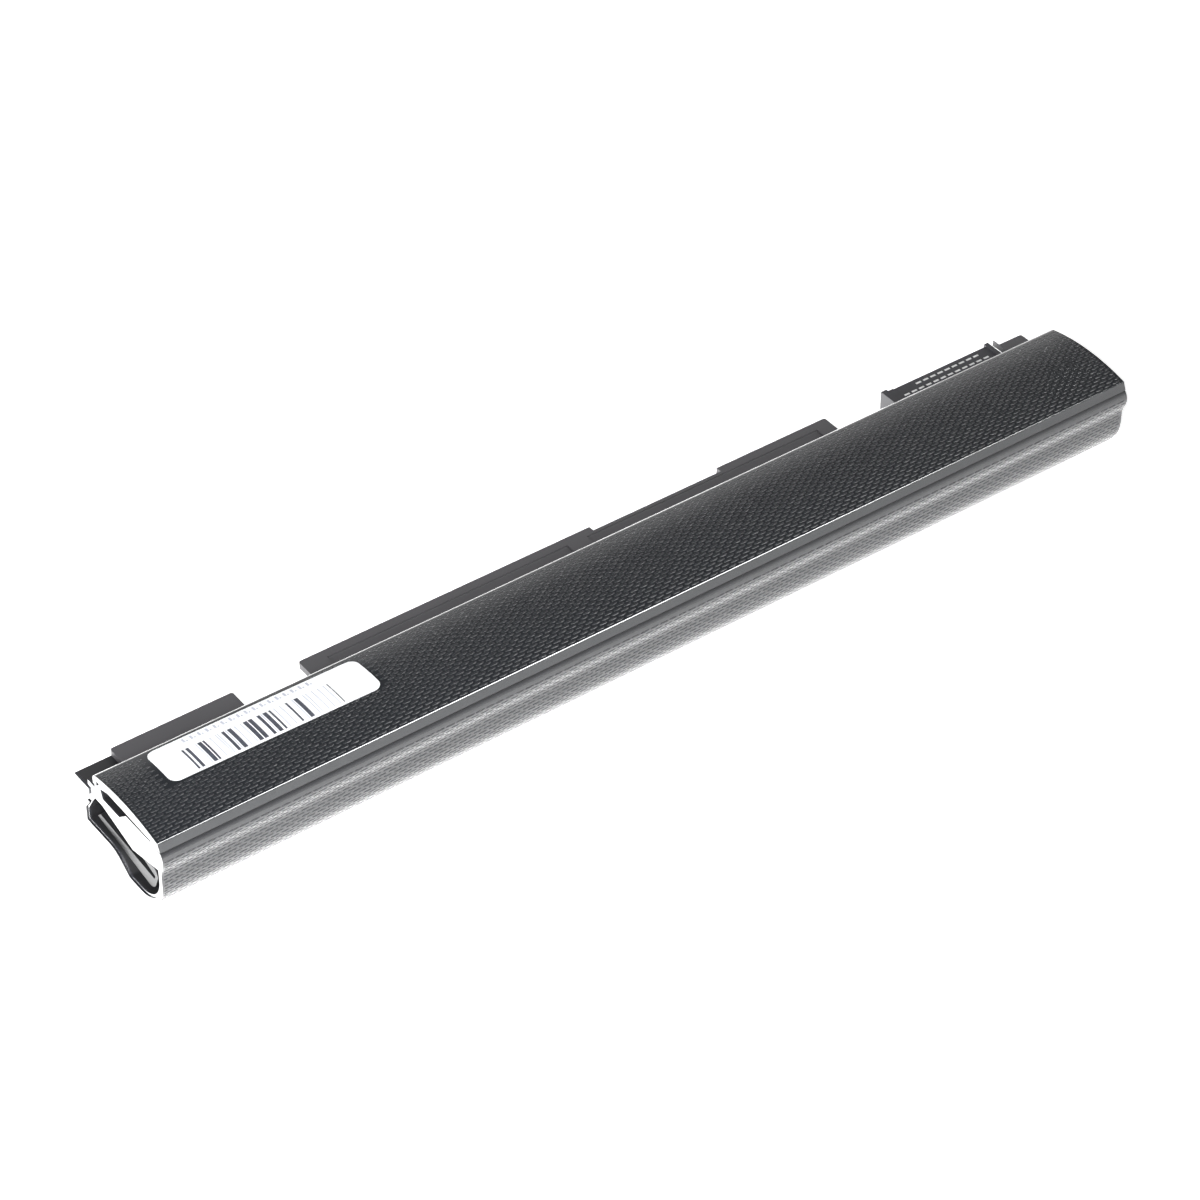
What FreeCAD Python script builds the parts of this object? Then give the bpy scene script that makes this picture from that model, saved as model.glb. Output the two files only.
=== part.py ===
import FreeCAD, Part
import math
import os
import Sketcher

# Slim battery bar for a small laptop: three round cells end to end in the belly of a moulded
# shell, a crowned cover above them, and a rear frame with the flanges that slide into the laptop.
# Local axes of every section: x from the left end, y to the rear and z up, both from the sharp
# ridge where the crowned cover meets its front bevel.

doc = FreeCAD.newDocument("LaptopBattery")

# Driving dimensions, in millimetres and degrees
DRIVING = [
    # whole bar
    ("end_bay", 55.5),
    ("flange_reach", 34.3),
    ("front_bulge", 1.6),
    ("seam", 0.1),
    # crowned cover
    ("cover_depth", 25.9),
    ("crown_rise", 1.6),
    ("cover_skin", 1.4),
    ("skirt_drop", 2.4),
    ("lip_drop", 2.0),
    ("lip_slant", 0.8),
    ("lip_tongue", 0.8),
    ("tongue_reach", 1.5),
    ("parting_groove", 0.25),
    ("ridge_round", 0.35),
    ("rear_round", 1.6),
    # lower shell: front wall, belly and rear wing
    ("shell_skin", 1.0),
    ("crest_drop", 4.3),
    ("belly_drop", 9.2),
    ("belly_front", 0.4),
    ("belly_relief", 0.5),
    ("foot_round", 3.0),
    ("flank_angle", 36.0),
    ("flank_relief", 0.8),
    ("flank_round", 6.0),
    ("wing_drop", 17.5),
    ("wing_inset", 1.8),
    ("wing_lip", 0.5),
    ("grip_groove", 1.0),
    ("grip_height", 1.9),
    ("grip_face", 1.3),
    ("ledge_reach", 29.5),
    ("ledge_drop", 10.0),
    # rear frame and its flanges
    ("flange_drop", 4.0),
    ("flange_skin", 1.6),
    ("wall_reach", 28.9),
    ("wall_skin", 1.2),
    ("tongue_drop", 1.4),
    ("low_tab_length", 8.4),
    ("low_tab_drop", 6.0),
    ("low_tab_tuck", 3.0),
    ("tab_split", 0.4),
    ("left_tab_length", 30.2),
    ("left_latch_gap", 16.6),
    ("narrow_start", 77.4),
    ("narrow_length", 35.9),
    ("narrow_setback", 1.5),
    ("right_latch_gap", 16.9),
    ("end_inset", 3.5),
    ("right_tab_length", 6.8),
    ("right_tab_reach", 32.1),
    ("tab_corner", 1.2),
    ("panel_depth", 0.5),
    ("panel_border", 2.3),
    ("panel_front", 26.6),
    ("first_panel_inset", 5.9),
    ("first_panel_length", 63.8),
    ("panel_split", 5.3),
    ("last_panel_inset", 4.1),
    # end caps
    ("cap_inset", 0.3),
    ("cap_skin", 1.4),
    ("left_cap_depth", 6.4),
    ("pocket_depth", 4.6),
    ("slot_depth", 3.4),
    ("slot_front", 13.2),
    ("slot_rear", 23.6),
    ("slot_top", 1.7),
    ("slot_height", 3.4),
    ("slit_front", 3.4),
    ("slit_height", 0.8),
    ("pocket_skin", 0.7),
    ("rib_skin", 0.95),
    ("rib_setback", 1.0),
    ("loop_lift", 2.5),
    ("loop_front", 3.1),
    ("loop_height", 4.8),
    # connector
    ("connector_length", 32.7),
    ("connector_split", 1.7),
    ("connector_front", 24.4),
    ("end_rib", 1.6),
    ("end_rib_rise", 0.4),
    ("end_rib_stand", 0.5),
    ("contact_count", 8),
    ("contact_pitch", 3.3),
    ("contact_slot", 1.3),
    ("contact_sheet", 0.35),
    ("slot_margin", 1.3),
    ("front_wall", 2.0),
    # cells
    ("cell_diameter", 18.3),
    ("cell_length", 65.0),
    ("cell_fit", 0.25),
    ("head_room", 1.85),
    ("cell_gap", 1.6),
    ("sleeve_skin", 0.12),
    ("sleeve_fold", 1.0),
    ("ring_sheet", 0.3),
    ("ring_inset", 0.4),
    ("button_rise", 0.8),
    ("button_diameter", 6.4),
    ("bead_depth", 0.9),
    ("strip_sheet", 0.2),
    ("strip_width", 7.0),
    ("pad_length", 22.0),
    ("pad_width", 8.0),
    # circuit board
    ("board_length", 106.0),
    ("board_fit", 0.3),
    ("board_sheet", 1.0),
    ("board_seat", 2.6),
    ("board_end_inset", 6.0),
    ("fuse_inset", 49.3),
    ("sensing_inset", 37.3),
    ("protector_inset", 25.3),
    ("charge_inset", 17.3),
    ("discharge_inset", 3.8),
    ("fuse_length", 6.0),
    ("fuse_width", 4.4),
    ("fuse_height", 1.4),
    ("sensing_length", 9.7),
    ("protector_length", 5.0),
    ("switch_length", 4.9),
    ("chip_width", 4.0),
    ("chip_height", 1.0),
    ("switch_height", 1.2),
    ("leg_pitch", 1.2),
    ("leg_width", 0.4),
    ("leg_reach", 0.9),
    ("resistor_length", 3.2),
    ("resistor_width", 1.6),
    ("resistor_height", 0.6),
    ("capacitor_length", 1.6),
    ("capacitor_width", 0.8),
    ("capacitor_pitch", 4.5),
    ("lead_diameter", 1.2),
    ("sense_diameter", 0.9),
    ("spine_skin", 0.8),
    ("spine_drop", 7.4),
    ("rib_spacing", 32.0),
    # barcode label
    ("label_length", 51.6),
    ("label_width", 12.0),
    ("label_sheet", 0.1),
    ("label_corner", 2.2),
    ("label_left", 11.2),
    ("label_front", 11.7),
    ("label_turn", -0.7),
]

sheet = doc.addObject("Spreadsheet::Sheet", "Sizes")
for row, (alias, number) in enumerate(DRIVING, start=1):
    sheet.set("A%d" % row, alias)
    sheet.set("B%d" % row, str(number))
    sheet.setAlias("B%d" % row, alias)
doc.recompute()


class Size:
    """A length worked out from the sheet: its number and the expression that gives it."""

    def __init__(self, number, text):
        self.number = float(number)
        self.text = text

    def __add__(self, other):
        other = size(other)
        return Size(self.number + other.number, "(%s + %s)" % (self.text, other.text))

    def __sub__(self, other):
        other = size(other)
        return Size(self.number - other.number, "(%s - %s)" % (self.text, other.text))

    def __mul__(self, other):
        other = size(other)
        return Size(self.number * other.number, "(%s * %s)" % (self.text, other.text))

    def __truediv__(self, other):
        other = size(other)
        return Size(self.number / other.number, "(%s / %s)" % (self.text, other.text))

    def __radd__(self, other):
        return size(other) + self

    def __rsub__(self, other):
        return size(other) - self

    def __rmul__(self, other):
        return size(other) * self

    def __neg__(self):
        return size(0) - self


def size(value):
    if isinstance(value, Size):
        return value
    return Size(value, "(%s)" % value if value < 0 else "%s" % value)


def root(value):
    return Size(math.sqrt(value.number), "sqrt(%s)" % value.text)


def larger(one, other):
    return Size(max(one.number, other.number), "max(%s; %s)" % (one.text, other.text))


def sine(angle):
    return Size(math.sin(math.radians(angle.number)), "sin(%s * 1 deg)" % angle.text)


def cosine(angle):
    return Size(math.cos(math.radians(angle.number)), "cos(%s * 1 deg)" % angle.text)


S = {alias: Size(sheet.get(alias), "Sizes." + alias) for alias, number in DRIVING}


# Helpers that build bound features

def bind(thing, prop, value):
    thing.setExpression(prop, size(value).text)


def place(thing, x, y, z):
    """Puts a piece at a point given from the left end and the ridge."""
    bind(thing, "Placement.Base.x", left_x + x)
    bind(thing, "Placement.Base.y", ridge_y + y)
    bind(thing, "Placement.Base.z", ridge_z + z)


def new_body(label, x=0, y=0, z=0, node=True):
    body = doc.addObject("PartDesign::Body", label)
    body.Label = label
    place(body, x, y, z)
    if node:
        NODES.append(body)
    return body


def pin(sketch, edge, point, x, y):
    """Ties a point of a sketch to its coordinates."""
    for axis, value in (("DistanceX", size(x)), ("DistanceY", size(y))):
        rule = Sketcher.Constraint(axis, -1, 1, edge, point, value.number)
        bind(sketch, "Constraints[%d]" % sketch.addConstraint(rule), value)


def pin_radius(sketch, edge, radius):
    rule = Sketcher.Constraint("Radius", edge, radius.number)
    bind(sketch, "Constraints[%d]" % sketch.addConstraint(rule), radius)


def add_circle(sketch, x, y, radius):
    middle = FreeCAD.Vector(size(x).number, size(y).number, 0)
    ring = Part.Circle(middle, FreeCAD.Vector(0, 0, 1), radius.number)
    edge = sketch.addGeometry(ring, False)
    pin_radius(sketch, edge, radius)
    pin(sketch, edge, 3, x, y)


def add_outline(sketch, corners):
    """Adds a closed outline: (x, y) is reached by a line, (x, y, radius, turn) by an arc.

    A turn of 1 is to the left, -1 to the right.
    """
    joints = []
    before = corners[-1]
    for corner in corners:
        x0, y0 = size(before[0]).number, size(before[1]).number
        x1, y1 = size(corner[0]).number, size(corner[1]).number
        if len(corner) == 2:
            start, end = FreeCAD.Vector(x0, y0, 0), FreeCAD.Vector(x1, y1, 0)
            edge = sketch.addGeometry(Part.LineSegment(start, end), False)
            joints.append((edge, 1, 2))
        else:
            radius, turn = size(corner[2]), corner[3]
            half = math.hypot(x1 - x0, y1 - y0) / 2
            rise = math.sqrt(max(radius.number ** 2 - half ** 2, 0.0)) * turn
            cx = (x0 + x1) / 2 - rise * (y1 - y0) / (2 * half)
            cy = (y0 + y1) / 2 + rise * (x1 - x0) / (2 * half)
            first = math.atan2(y0 - cy, x0 - cx)
            last = math.atan2(y1 - cy, x1 - cx)
            if turn < 0:
                first, last = last, first
            ring = Part.Circle(FreeCAD.Vector(cx, cy, 0), FreeCAD.Vector(0, 0, 1), radius.number)
            edge = sketch.addGeometry(Part.ArcOfCircle(ring, first, last), False)
            joints.append((edge, 1, 2) if turn > 0 else (edge, 2, 1))
            pin_radius(sketch, edge, radius)
        before = corner
    for index, corner in enumerate(corners):
        edge, start, end = joints[index]
        following, head, tail = joints[(index + 1) % len(joints)]
        sketch.addConstraint(Sketcher.Constraint("Coincident", edge, end, following, head))
        pin(sketch, edge, end, corner[0], corner[1])


def new_sketch(body, name, plane, outlines, height=0):
    sketch = body.newObject("Sketcher::SketchObject", name)
    support = [item for item in body.Origin.OriginFeatures if item.Role == plane][0]
    sketch.AttachmentSupport = [(support, "")]
    sketch.MapMode = "FlatFace"
    bind(sketch, "AttachmentOffset.Base.z", height)
    for corners in outlines:
        add_outline(sketch, corners)
    return sketch


def pad(body, name, sketch, length, backward=False):
    feature = body.newObject("PartDesign::Pad", name)
    feature.Profile = sketch
    bind(feature, "Length", length)
    feature.Reversed = backward
    return feature


def pocket(body, name, sketch, length, backward=False):
    feature = body.newObject("PartDesign::Pocket", name)
    feature.Profile = sketch
    bind(feature, "Length", length)
    feature.Reversed = backward
    CUTS.append((body, feature))
    return feature


def revolve(body, name, sketch):
    """Turns a profile about the body's own x axis."""
    feature = body.newObject("PartDesign::Revolution", name)
    feature.Profile = sketch
    feature.ReferenceAxis = (sketch, ["H_Axis"])
    feature.Angle = 360
    return feature


def repeat(body, name, features, sketch, axis, step, times):
    """Repeats features along an axis of a sketch."""
    row = body.newObject("PartDesign::LinearPattern", name)
    row.Originals = features
    row.Direction = (sketch, [axis])
    row.Mode = "Spacing"
    bind(row, "Offset", step)
    bind(row, "Occurrences", times)
    body.Tip = row
    return row


def rectangle(x0, x1, y0, y1):
    return [(x1, y0), (x1, y1), (x0, y1), (x0, y0)]


def rounded(x0, x1, y0, y1, r):
    """Rectangle with rounded corners."""
    return [(x1 - r, y0), (x1, y0 + r, r, 1), (x1, y1 - r), (x1 - r, y1, r, 1),
            (x0 + r, y1), (x0, y1 - r, r, 1), (x0, y0 + r), (x0 + r, y0, r, 1)]


def edges_along(shape, direction, across):
    """Names of the straight edges along an axis that pass through the point given across it."""
    names = []
    for number, edge in enumerate(shape.Edges, start=1):
        run = edge.Vertexes[-1].Point - edge.Vertexes[0].Point
        if run.Length < 0.5 or abs(abs(run.normalize().dot(direction)) - 1) > 1e-6:
            continue
        middle = edge.CenterOfMass
        away = middle - across
        away = away - direction * away.dot(direction)
        if away.Length < 0.02:
            names.append("Edge%d" % number)
    return names


def round_edges(body, name, base, direction, points, radius):
    """Rounds the edges of a feature that run along a direction through the points given."""
    doc.recompute()
    names = []
    for point in points:
        spot = FreeCAD.Vector(*[size(value).number for value in point])
        names += edges_along(base.Shape, direction, spot)
    feature = body.newObject("PartDesign::Fillet", name)
    feature.Base = (base, sorted(set(names)))
    bind(feature, "Radius", radius)
    return feature


def new_box(label, x, y, z, length, width, height):
    block = doc.addObject("Part::Box", label)
    block.Label = label
    bind(block, "Length", length)
    bind(block, "Width", width)
    bind(block, "Height", height)
    place(block, x, y, z)
    NODES.append(block)
    return block


NODES = []
CUTS = []
ALONG_X = FreeCAD.Vector(1, 0, 0)
ALONG_Z = FreeCAD.Vector(0, 0, 1)

# The row of cells sets the bar's length, with the left cap before it and the connector's bay
# behind it; a cell, its fit and the wall under it set the height
cell_radius = S["cell_diameter"] / 2
cell_start = S["left_cap_depth"] + S["cell_gap"] + S["strip_sheet"] + S["seam"]
cell_step = S["cell_length"] + S["cell_gap"]
cells_end = cell_start + cell_step * 2 + S["cell_length"]
overall_length = cells_end + S["end_bay"]
height = S["shell_skin"] + S["cell_fit"] + S["cell_diameter"] + S["head_room"]
left_x = overall_length * -0.5
ridge_y = (S["front_bulge"] - S["flange_reach"]) / 2
wing_reach = S["flange_reach"] - S["wing_inset"]
ridge_z = height

# Cover section: a crowned arc from the ridge to the rear
crown_radius = (
    S["cover_depth"] * S["cover_depth"] / 4 + S["crown_rise"] * S["crown_rise"]
) / (S["crown_rise"] * 2)
crown_y = S["cover_depth"] / 2
crown_z = S["crown_rise"] - crown_radius


def crown_at(y, inset):
    """Height of the crowned surface at a depth, or of a surface set below it."""
    radius = crown_radius - inset
    away = size(y) - crown_y
    return crown_z + root(radius * radius - away * away)


frame_start = S["left_cap_depth"] + S["seam"]
frame_end = overall_length - S["end_inset"]
cover_inner_rear = S["cover_depth"] - S["cover_skin"]
lip_inner = S["cover_skin"] - S["lip_slant"]

# top_cover: crowned moulding with a bevelled front lip, a tongue behind the lower shell's front
# wall and a rear skirt
cover = new_body("top_cover")
cover_section = new_sketch(cover, "cover_section", "YZ_Plane", [[
    (S["cover_depth"], 0, crown_radius, -1),
    (S["cover_depth"], -S["skirt_drop"]),
    (cover_inner_rear, -S["skirt_drop"]),
    (cover_inner_rear, crown_at(cover_inner_rear, S["cover_skin"])),
    (S["cover_skin"], crown_at(S["cover_skin"], S["cover_skin"]),
     crown_radius - S["cover_skin"], 1),
    (lip_inner, -S["lip_drop"]),
    (-S["lip_slant"], -S["lip_drop"]),
    (0, 0),
]])
cover_bar = pad(cover, "cover_bar", cover_section, overall_length)
cover_rear = round_edges(
    cover, "cover_rear_round", cover_bar, ALONG_X, [(0, S["cover_depth"], 0)], S["rear_round"])
cover_ridge = round_edges(
    cover, "cover_ridge_round", cover_rear, ALONG_X, [(0, 0, 0)], S["ridge_round"])
inner_front = S["shell_skin"] - S["belly_front"]
tongue_sketch = new_sketch(cover, "lip_tongue_section", "YZ_Plane", [rectangle(
    inner_front, inner_front + S["lip_tongue"],
    -(S["lip_drop"] + S["tongue_reach"]), crown_at(inner_front, S["cover_skin"] / 2))],
    frame_start)
lip_tongue = pad(cover, "lip_tongue", tongue_sketch, frame_end - frame_start)

# Lower shell section. The belly wraps the cell; a flat foot under it leads to a slanted flank
# and up to the rear wing. The foot's width follows from the flank lying close under the cell.
cell_y = inner_front + S["cell_fit"] + cell_radius
cell_z = -(S["head_room"] + cell_radius)
belly_round = cell_radius + S["cell_fit"] + S["shell_skin"] - S["belly_relief"]
belly_y = belly_round - S["belly_front"]
belly_z = belly_round - height
lean_sine = sine(S["flank_angle"])
lean_cosine = cosine(S["flank_angle"])
foot_slack = cell_radius + S["cell_fit"] + S["shell_skin"] - S["foot_round"]
foot_end = cell_y + foot_slack * (1 - lean_cosine) / lean_sine + S["flank_relief"]
flank_rise = (
    height - S["wing_drop"] - (S["foot_round"] + S["flank_round"]) * (1 - lean_cosine))
flank_out = (
    foot_end + (S["foot_round"] + S["flank_round"]) * lean_sine
    + flank_rise * lean_cosine / lean_sine)
shell_top = -(S["lip_drop"] + S["parting_groove"])
# The front swells to a crest by one arc and falls back to the belly by two equal ones.
swell_out = S["front_bulge"] - S["lip_slant"]
swell_drop = S["crest_drop"] + shell_top
crest_round = (swell_drop * swell_drop + swell_out * swell_out) / (swell_out * 2)
fall_in = S["front_bulge"] - S["belly_front"]
fall_drop = S["belly_drop"] - S["crest_drop"]
crest_fall = (fall_drop * fall_drop + fall_in * fall_in) / (fall_in * 4)
inner_rear = wing_reach - S["grip_groove"] - S["shell_skin"]
grip_low = S["wing_lip"] - S["wing_drop"]
grip_top = grip_low + S["grip_height"]
slope_low = grip_top + S["grip_face"]
grip_slant = S["grip_groove"] * 0.6


def belly_forward(inset, top):
    """Outline at an inset inside the shell, down its front, under the cell and to the wing."""
    return [
        (inset - S["belly_front"], top),
        (inset - S["belly_front"], belly_z),
        (belly_y, inset - height, belly_round - inset, 1),
        (foot_end, inset - height),
        (foot_end + (S["foot_round"] - inset) * lean_sine,
         S["foot_round"] - height - (S["foot_round"] - inset) * lean_cosine,
         S["foot_round"] - inset, 1),
        (flank_out - (S["flank_round"] + inset) * lean_sine,
         (S["flank_round"] + inset) * lean_cosine - S["wing_drop"] - S["flank_round"]),
        (flank_out, inset - S["wing_drop"], S["flank_round"] + inset, -1),
    ]


def belly_backward(inset, top):
    """The same outline the other way, from the wing back to the front."""
    forward = belly_forward(inset, top)
    backward = [forward[-1][:2]]
    for here, there in zip(forward[:0:-1], forward[-2::-1]):
        curve = (here[2], -here[3]) if len(here) == 4 else ()
        backward.append(there[:2] + curve)
    return backward


# bottom_shell: one moulding with the front wall, belly, wing and lower rear wall
shell = new_body("bottom_shell")
front_wall = [
    (-S["lip_slant"], shell_top),
    (-S["front_bulge"], -S["crest_drop"], crest_round, 1),
    (-(S["front_bulge"] + S["belly_front"]) / 2, -(S["crest_drop"] + S["belly_drop"]) / 2,
     crest_fall, 1),
    (-S["belly_front"], -S["belly_drop"], crest_fall, -1),
]
rear_wall = [
    (wing_reach - S["wing_lip"], -S["wing_drop"]),
    (wing_reach, grip_low, S["wing_lip"], 1),
    (wing_reach - S["grip_groove"], grip_low + grip_slant),
    (wing_reach - S["grip_groove"], grip_top - grip_slant),
    (wing_reach, grip_top),
    (wing_reach, slope_low),
    (S["ledge_reach"], -S["ledge_drop"]),
    (S["ledge_reach"] - S["shell_skin"], -S["ledge_drop"]),
    (inner_rear, slope_low + S["shell_skin"]),
    (inner_rear, S["shell_skin"] - S["wing_drop"]),
]
shell_section = new_sketch(shell, "shell_section", "YZ_Plane", [
    front_wall
    + belly_forward(size(0), belly_z)[1:]
    + rear_wall
    + belly_backward(S["shell_skin"], shell_top)
])
shell_bar = pad(shell, "shell_bar", shell_section, overall_length)

# Places along the bar, worked out from both ends
connector_end = overall_length - S["end_inset"] - S["right_tab_length"] - S["connector_split"]
connector_start = connector_end - S["connector_length"]
ledge_end = connector_start - S["right_latch_gap"]
left_tab_start = S["low_tab_length"] + S["tab_split"]
left_tab_end = left_tab_start + S["left_tab_length"]
ledge_start = left_tab_end + S["left_latch_gap"]
narrow_start = ledge_start + S["narrow_start"]
narrow_end = narrow_start + S["narrow_length"]

# Board and cells along the bar
wing_floor = S["shell_skin"] - S["wing_drop"]
board_low = wing_floor + S["board_seat"]
board_top = board_low + S["board_sheet"]
board_end = overall_length - S["board_end_inset"]
board_start = board_end - S["board_length"]
spine_y = cell_y + cell_radius + S["cell_fit"]
board_y = spine_y + S["spine_skin"] + S["seam"]

# Inside the shell: a spine between cells and wing, cross ribs under leads and board, and a stop
root_depth = S["shell_skin"] / 3
spine_end = cells_end + S["cell_gap"] + S["strip_sheet"]
spine_sketch = new_sketch(shell, "spine_section", "YZ_Plane", [rectangle(
    spine_y, spine_y + S["spine_skin"], wing_floor - root_depth, -S["spine_drop"])], frame_start)
spine = pad(shell, "spine", spine_sketch, spine_end - frame_start)
stop_sketch = new_sketch(shell, "cell_stop_section", "YZ_Plane", [
    belly_forward(S["shell_skin"] / 2, -S["spine_drop"])
    + [(spine_y + S["spine_skin"], S["shell_skin"] / 2 - S["wing_drop"]),
       (spine_y + S["spine_skin"], -S["spine_drop"])]
], spine_end)
cell_stop = pad(shell, "cell_stop", stop_sketch, S["shell_skin"])
lead_rib_sketch = new_sketch(shell, "lead_rib_section", "YZ_Plane", [rectangle(
    spine_y + S["spine_skin"] / 2, inner_rear + root_depth,
    wing_floor - root_depth, board_top)], frame_start + S["rib_spacing"] / 2)
lead_rib = pad(shell, "lead_rib", lead_rib_sketch, S["shell_skin"])
lead_ribs = repeat(
    shell, "lead_ribs", [lead_rib], lead_rib_sketch, "N_Axis", S["rib_spacing"], 4)
board_rib_sketch = new_sketch(shell, "board_rib_section", "YZ_Plane", [rectangle(
    spine_y + S["spine_skin"] / 2, inner_rear + root_depth,
    wing_floor - root_depth, board_low)], board_start + S["rib_spacing"] / 4)
board_rib = pad(shell, "board_rib", board_rib_sketch, S["shell_skin"])
board_ribs = repeat(
    shell, "board_ribs", [board_rib], board_rib_sketch, "N_Axis", S["rib_spacing"], 3)

# Notch in the lower rear wall that lets the connector through
connector_low = board_top
notch_sketch = new_sketch(shell, "connector_notch_plan", "XY_Plane", [rectangle(
    connector_start - S["seam"], connector_end + S["seam"],
    S["connector_front"], wing_reach + S["seam"])], -S["spine_drop"])
notch = pocket(
    shell, "connector_notch", notch_sketch, connector_low * -1 + S["seam"] - S["spine_drop"])

# rear_frame: deck under the cover's rear edge, upper rear wall and the flanges
wall_foot = -S["ledge_drop"]
tongue_rear = S["ledge_reach"] - S["shell_skin"] - S["seam"]
tongue_front = S["wall_reach"] - S["wall_skin"] - S["shell_skin"] / 2
deck_top = -S["skirt_drop"]
deck_rear = S["cover_depth"]
deck_front = cell_y + cell_radius * 0.8
deck_under = deck_top - S["flange_skin"]
flange_under = -(S["flange_drop"] + S["flange_skin"])
rear_frame = new_body("rear_frame", frame_start)
frame_section = new_sketch(rear_frame, "frame_section", "YZ_Plane", [[
    (deck_front, deck_top),
    (deck_front, deck_under),
    (deck_rear - S["flange_skin"], deck_under),
    (deck_rear - S["flange_skin"], flange_under),
    (tongue_front, flange_under),
    (tongue_front, -(S["ledge_drop"] + S["tongue_drop"])),
    (tongue_rear, -(S["ledge_drop"] + S["tongue_drop"])),
    (tongue_rear, wall_foot),
    (S["wall_reach"], wall_foot),
    (S["wall_reach"], flange_under),
    (S["flange_reach"], flange_under),
    (S["flange_reach"], -S["flange_drop"]),
    (deck_rear, -S["flange_drop"]),
    (deck_rear, deck_top),
]])
frame_bar = pad(rear_frame, "frame_bar", frame_section, frame_end - frame_start)

over = S["flange_reach"] + S["flange_skin"]
cut_depth = S["flange_skin"] * 2


def frame_x(x):
    return x - frame_start


def flange_cut(name, outlines):
    """Cuts away flange in plan, from just above it to just below."""
    plan = new_sketch(
        rear_frame, name + "_plan", "XY_Plane", outlines, S["flange_skin"] / 2 - S["flange_drop"])
    return pocket(rear_frame, name, plan, cut_depth)


latch_gaps = flange_cut("latch_gaps", [
    rectangle(-S["seam"], frame_x(left_tab_start), S["wall_reach"], over),
    rectangle(frame_x(left_tab_end), frame_x(ledge_start), S["wall_reach"], over),
    rectangle(frame_x(ledge_end), frame_x(connector_end + S["connector_split"]),
              S["wall_reach"], over),
])
setbacks = flange_cut("edge_setbacks", [
    [(frame_x(narrow_start), S["flange_reach"] - S["narrow_setback"]),
     (frame_x(narrow_end), S["flange_reach"] - S["narrow_setback"]),
     (frame_x(narrow_end), over),
     (frame_x(narrow_start), over)],
    rectangle(frame_x(connector_end + S["connector_split"] + S["seam"] * 0.5),
              frame_x(frame_end + S["seam"]), S["right_tab_reach"], over),
])
panel_rear = S["flange_reach"] - S["panel_border"]
first_panel_start = ledge_start + S["first_panel_inset"]
first_panel_end = first_panel_start + S["first_panel_length"]
panel_plan = new_sketch(rear_frame, "panels_plan", "XY_Plane", [
    rectangle(frame_x(first_panel_start), frame_x(first_panel_end),
              S["panel_front"], panel_rear),
    rectangle(frame_x(first_panel_end + S["panel_split"]),
              frame_x(ledge_end - S["last_panel_inset"]), S["panel_front"], panel_rear),
], -S["flange_drop"])
panels = pocket(rear_frame, "panels", panel_plan, S["panel_depth"])
connector_bay_plan = new_sketch(rear_frame, "connector_bay_plan", "XY_Plane", [rectangle(
    frame_x(connector_start - S["seam"]), frame_x(connector_end + S["seam"]),
    S["connector_front"] - S["seam"], over)], deck_top + S["seam"])
connector_bay = pocket(rear_frame, "connector_bay", connector_bay_plan, S["ledge_drop"])
tab_corners = round_edges(
    rear_frame, "tab_corners", connector_bay, ALONG_Z,
    [(frame_x(left_tab_end), S["flange_reach"], 0), (frame_x(ledge_start), S["flange_reach"], 0),
     (frame_x(ledge_end), S["flange_reach"], 0), (frame_x(frame_end), S["right_tab_reach"], 0),
     (frame_x(left_tab_start), S["flange_reach"], 0)],
    S["tab_corner"] / 2)

# End caps close the bar inside the shell's ends, below the cover and behind the deck
cap_clear = S["cover_skin"] + S["seam"]
cap_front = inner_front + S["seam"]
cap_top_front = S["cover_skin"] + S["seam"] * 2
cap_top_rear = cover_inner_rear - S["seam"]
cap_rear = inner_rear - S["seam"]
cap_outline = [
    (cap_front, shell_top),
] + belly_forward(S["shell_skin"] + S["seam"], shell_top)[1:] + [
    (cap_rear, wing_floor + S["seam"]),
    (cap_rear, slope_low + S["shell_skin"]),
    (tongue_rear, -(S["ledge_drop"] + S["seam"])),
    (tongue_rear, wall_foot),
    (S["wall_reach"], wall_foot),
    (S["wall_reach"], -S["flange_drop"]),
    (deck_rear, -S["flange_drop"]),
    (deck_rear, deck_top),
    (cap_top_rear, deck_top),
    (cap_top_rear, crown_at(cap_top_rear, cap_clear)),
    (cap_top_front, crown_at(cap_top_front, cap_clear), crown_radius - cap_clear, 1),
]

# left_end_cap: glossy end wall over an open pocket, with a black slot under the cover's rim
left_cap = new_body("left_end_cap", S["cap_inset"])
left_cap_sketch = new_sketch(left_cap, "left_cap_section", "YZ_Plane", [cap_outline])
left_cap_block = pad(
    left_cap, "left_cap_block", left_cap_sketch, S["left_cap_depth"] - S["cap_inset"])

# The pocket's roof is a shelf, lowest near the middle, its floor a thin skin inside the shell's
shelf_drop = cell_z * -1 - S["cap_skin"] * 0.6
shelf_middle = cell_y + cell_radius * 0.18
shelf_rear = cell_y + cell_radius * 1.46
shelf_high = wall_foot + S["cap_skin"] * 1.9
pocket_inset = S["shell_skin"] + S["pocket_skin"]
pocket_rear = inner_rear - S["pocket_skin"]
pocket_outline = [
    (pocket_inset - S["belly_front"], S["cap_skin"] * 1.2 - shelf_drop),
] + belly_forward(pocket_inset, shell_top)[1:] + [
    (pocket_rear, pocket_inset - S["wing_drop"]),
    (pocket_rear, slope_low + S["shell_skin"]),
    (S["wall_reach"] - S["wall_skin"], wall_foot + S["cap_skin"] / 2),
    (S["wall_reach"] - S["wall_skin"] - S["cap_skin"], shelf_high),
    (shelf_rear, shelf_high),
    (shelf_middle, -(shelf_drop + S["cap_skin"] / 2)),
]
pocket_sketch = new_sketch(left_cap, "pocket_section", "YZ_Plane", [pocket_outline])
end_pocket = pocket(left_cap, "end_pocket", pocket_sketch, S["pocket_depth"], backward=True)

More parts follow.
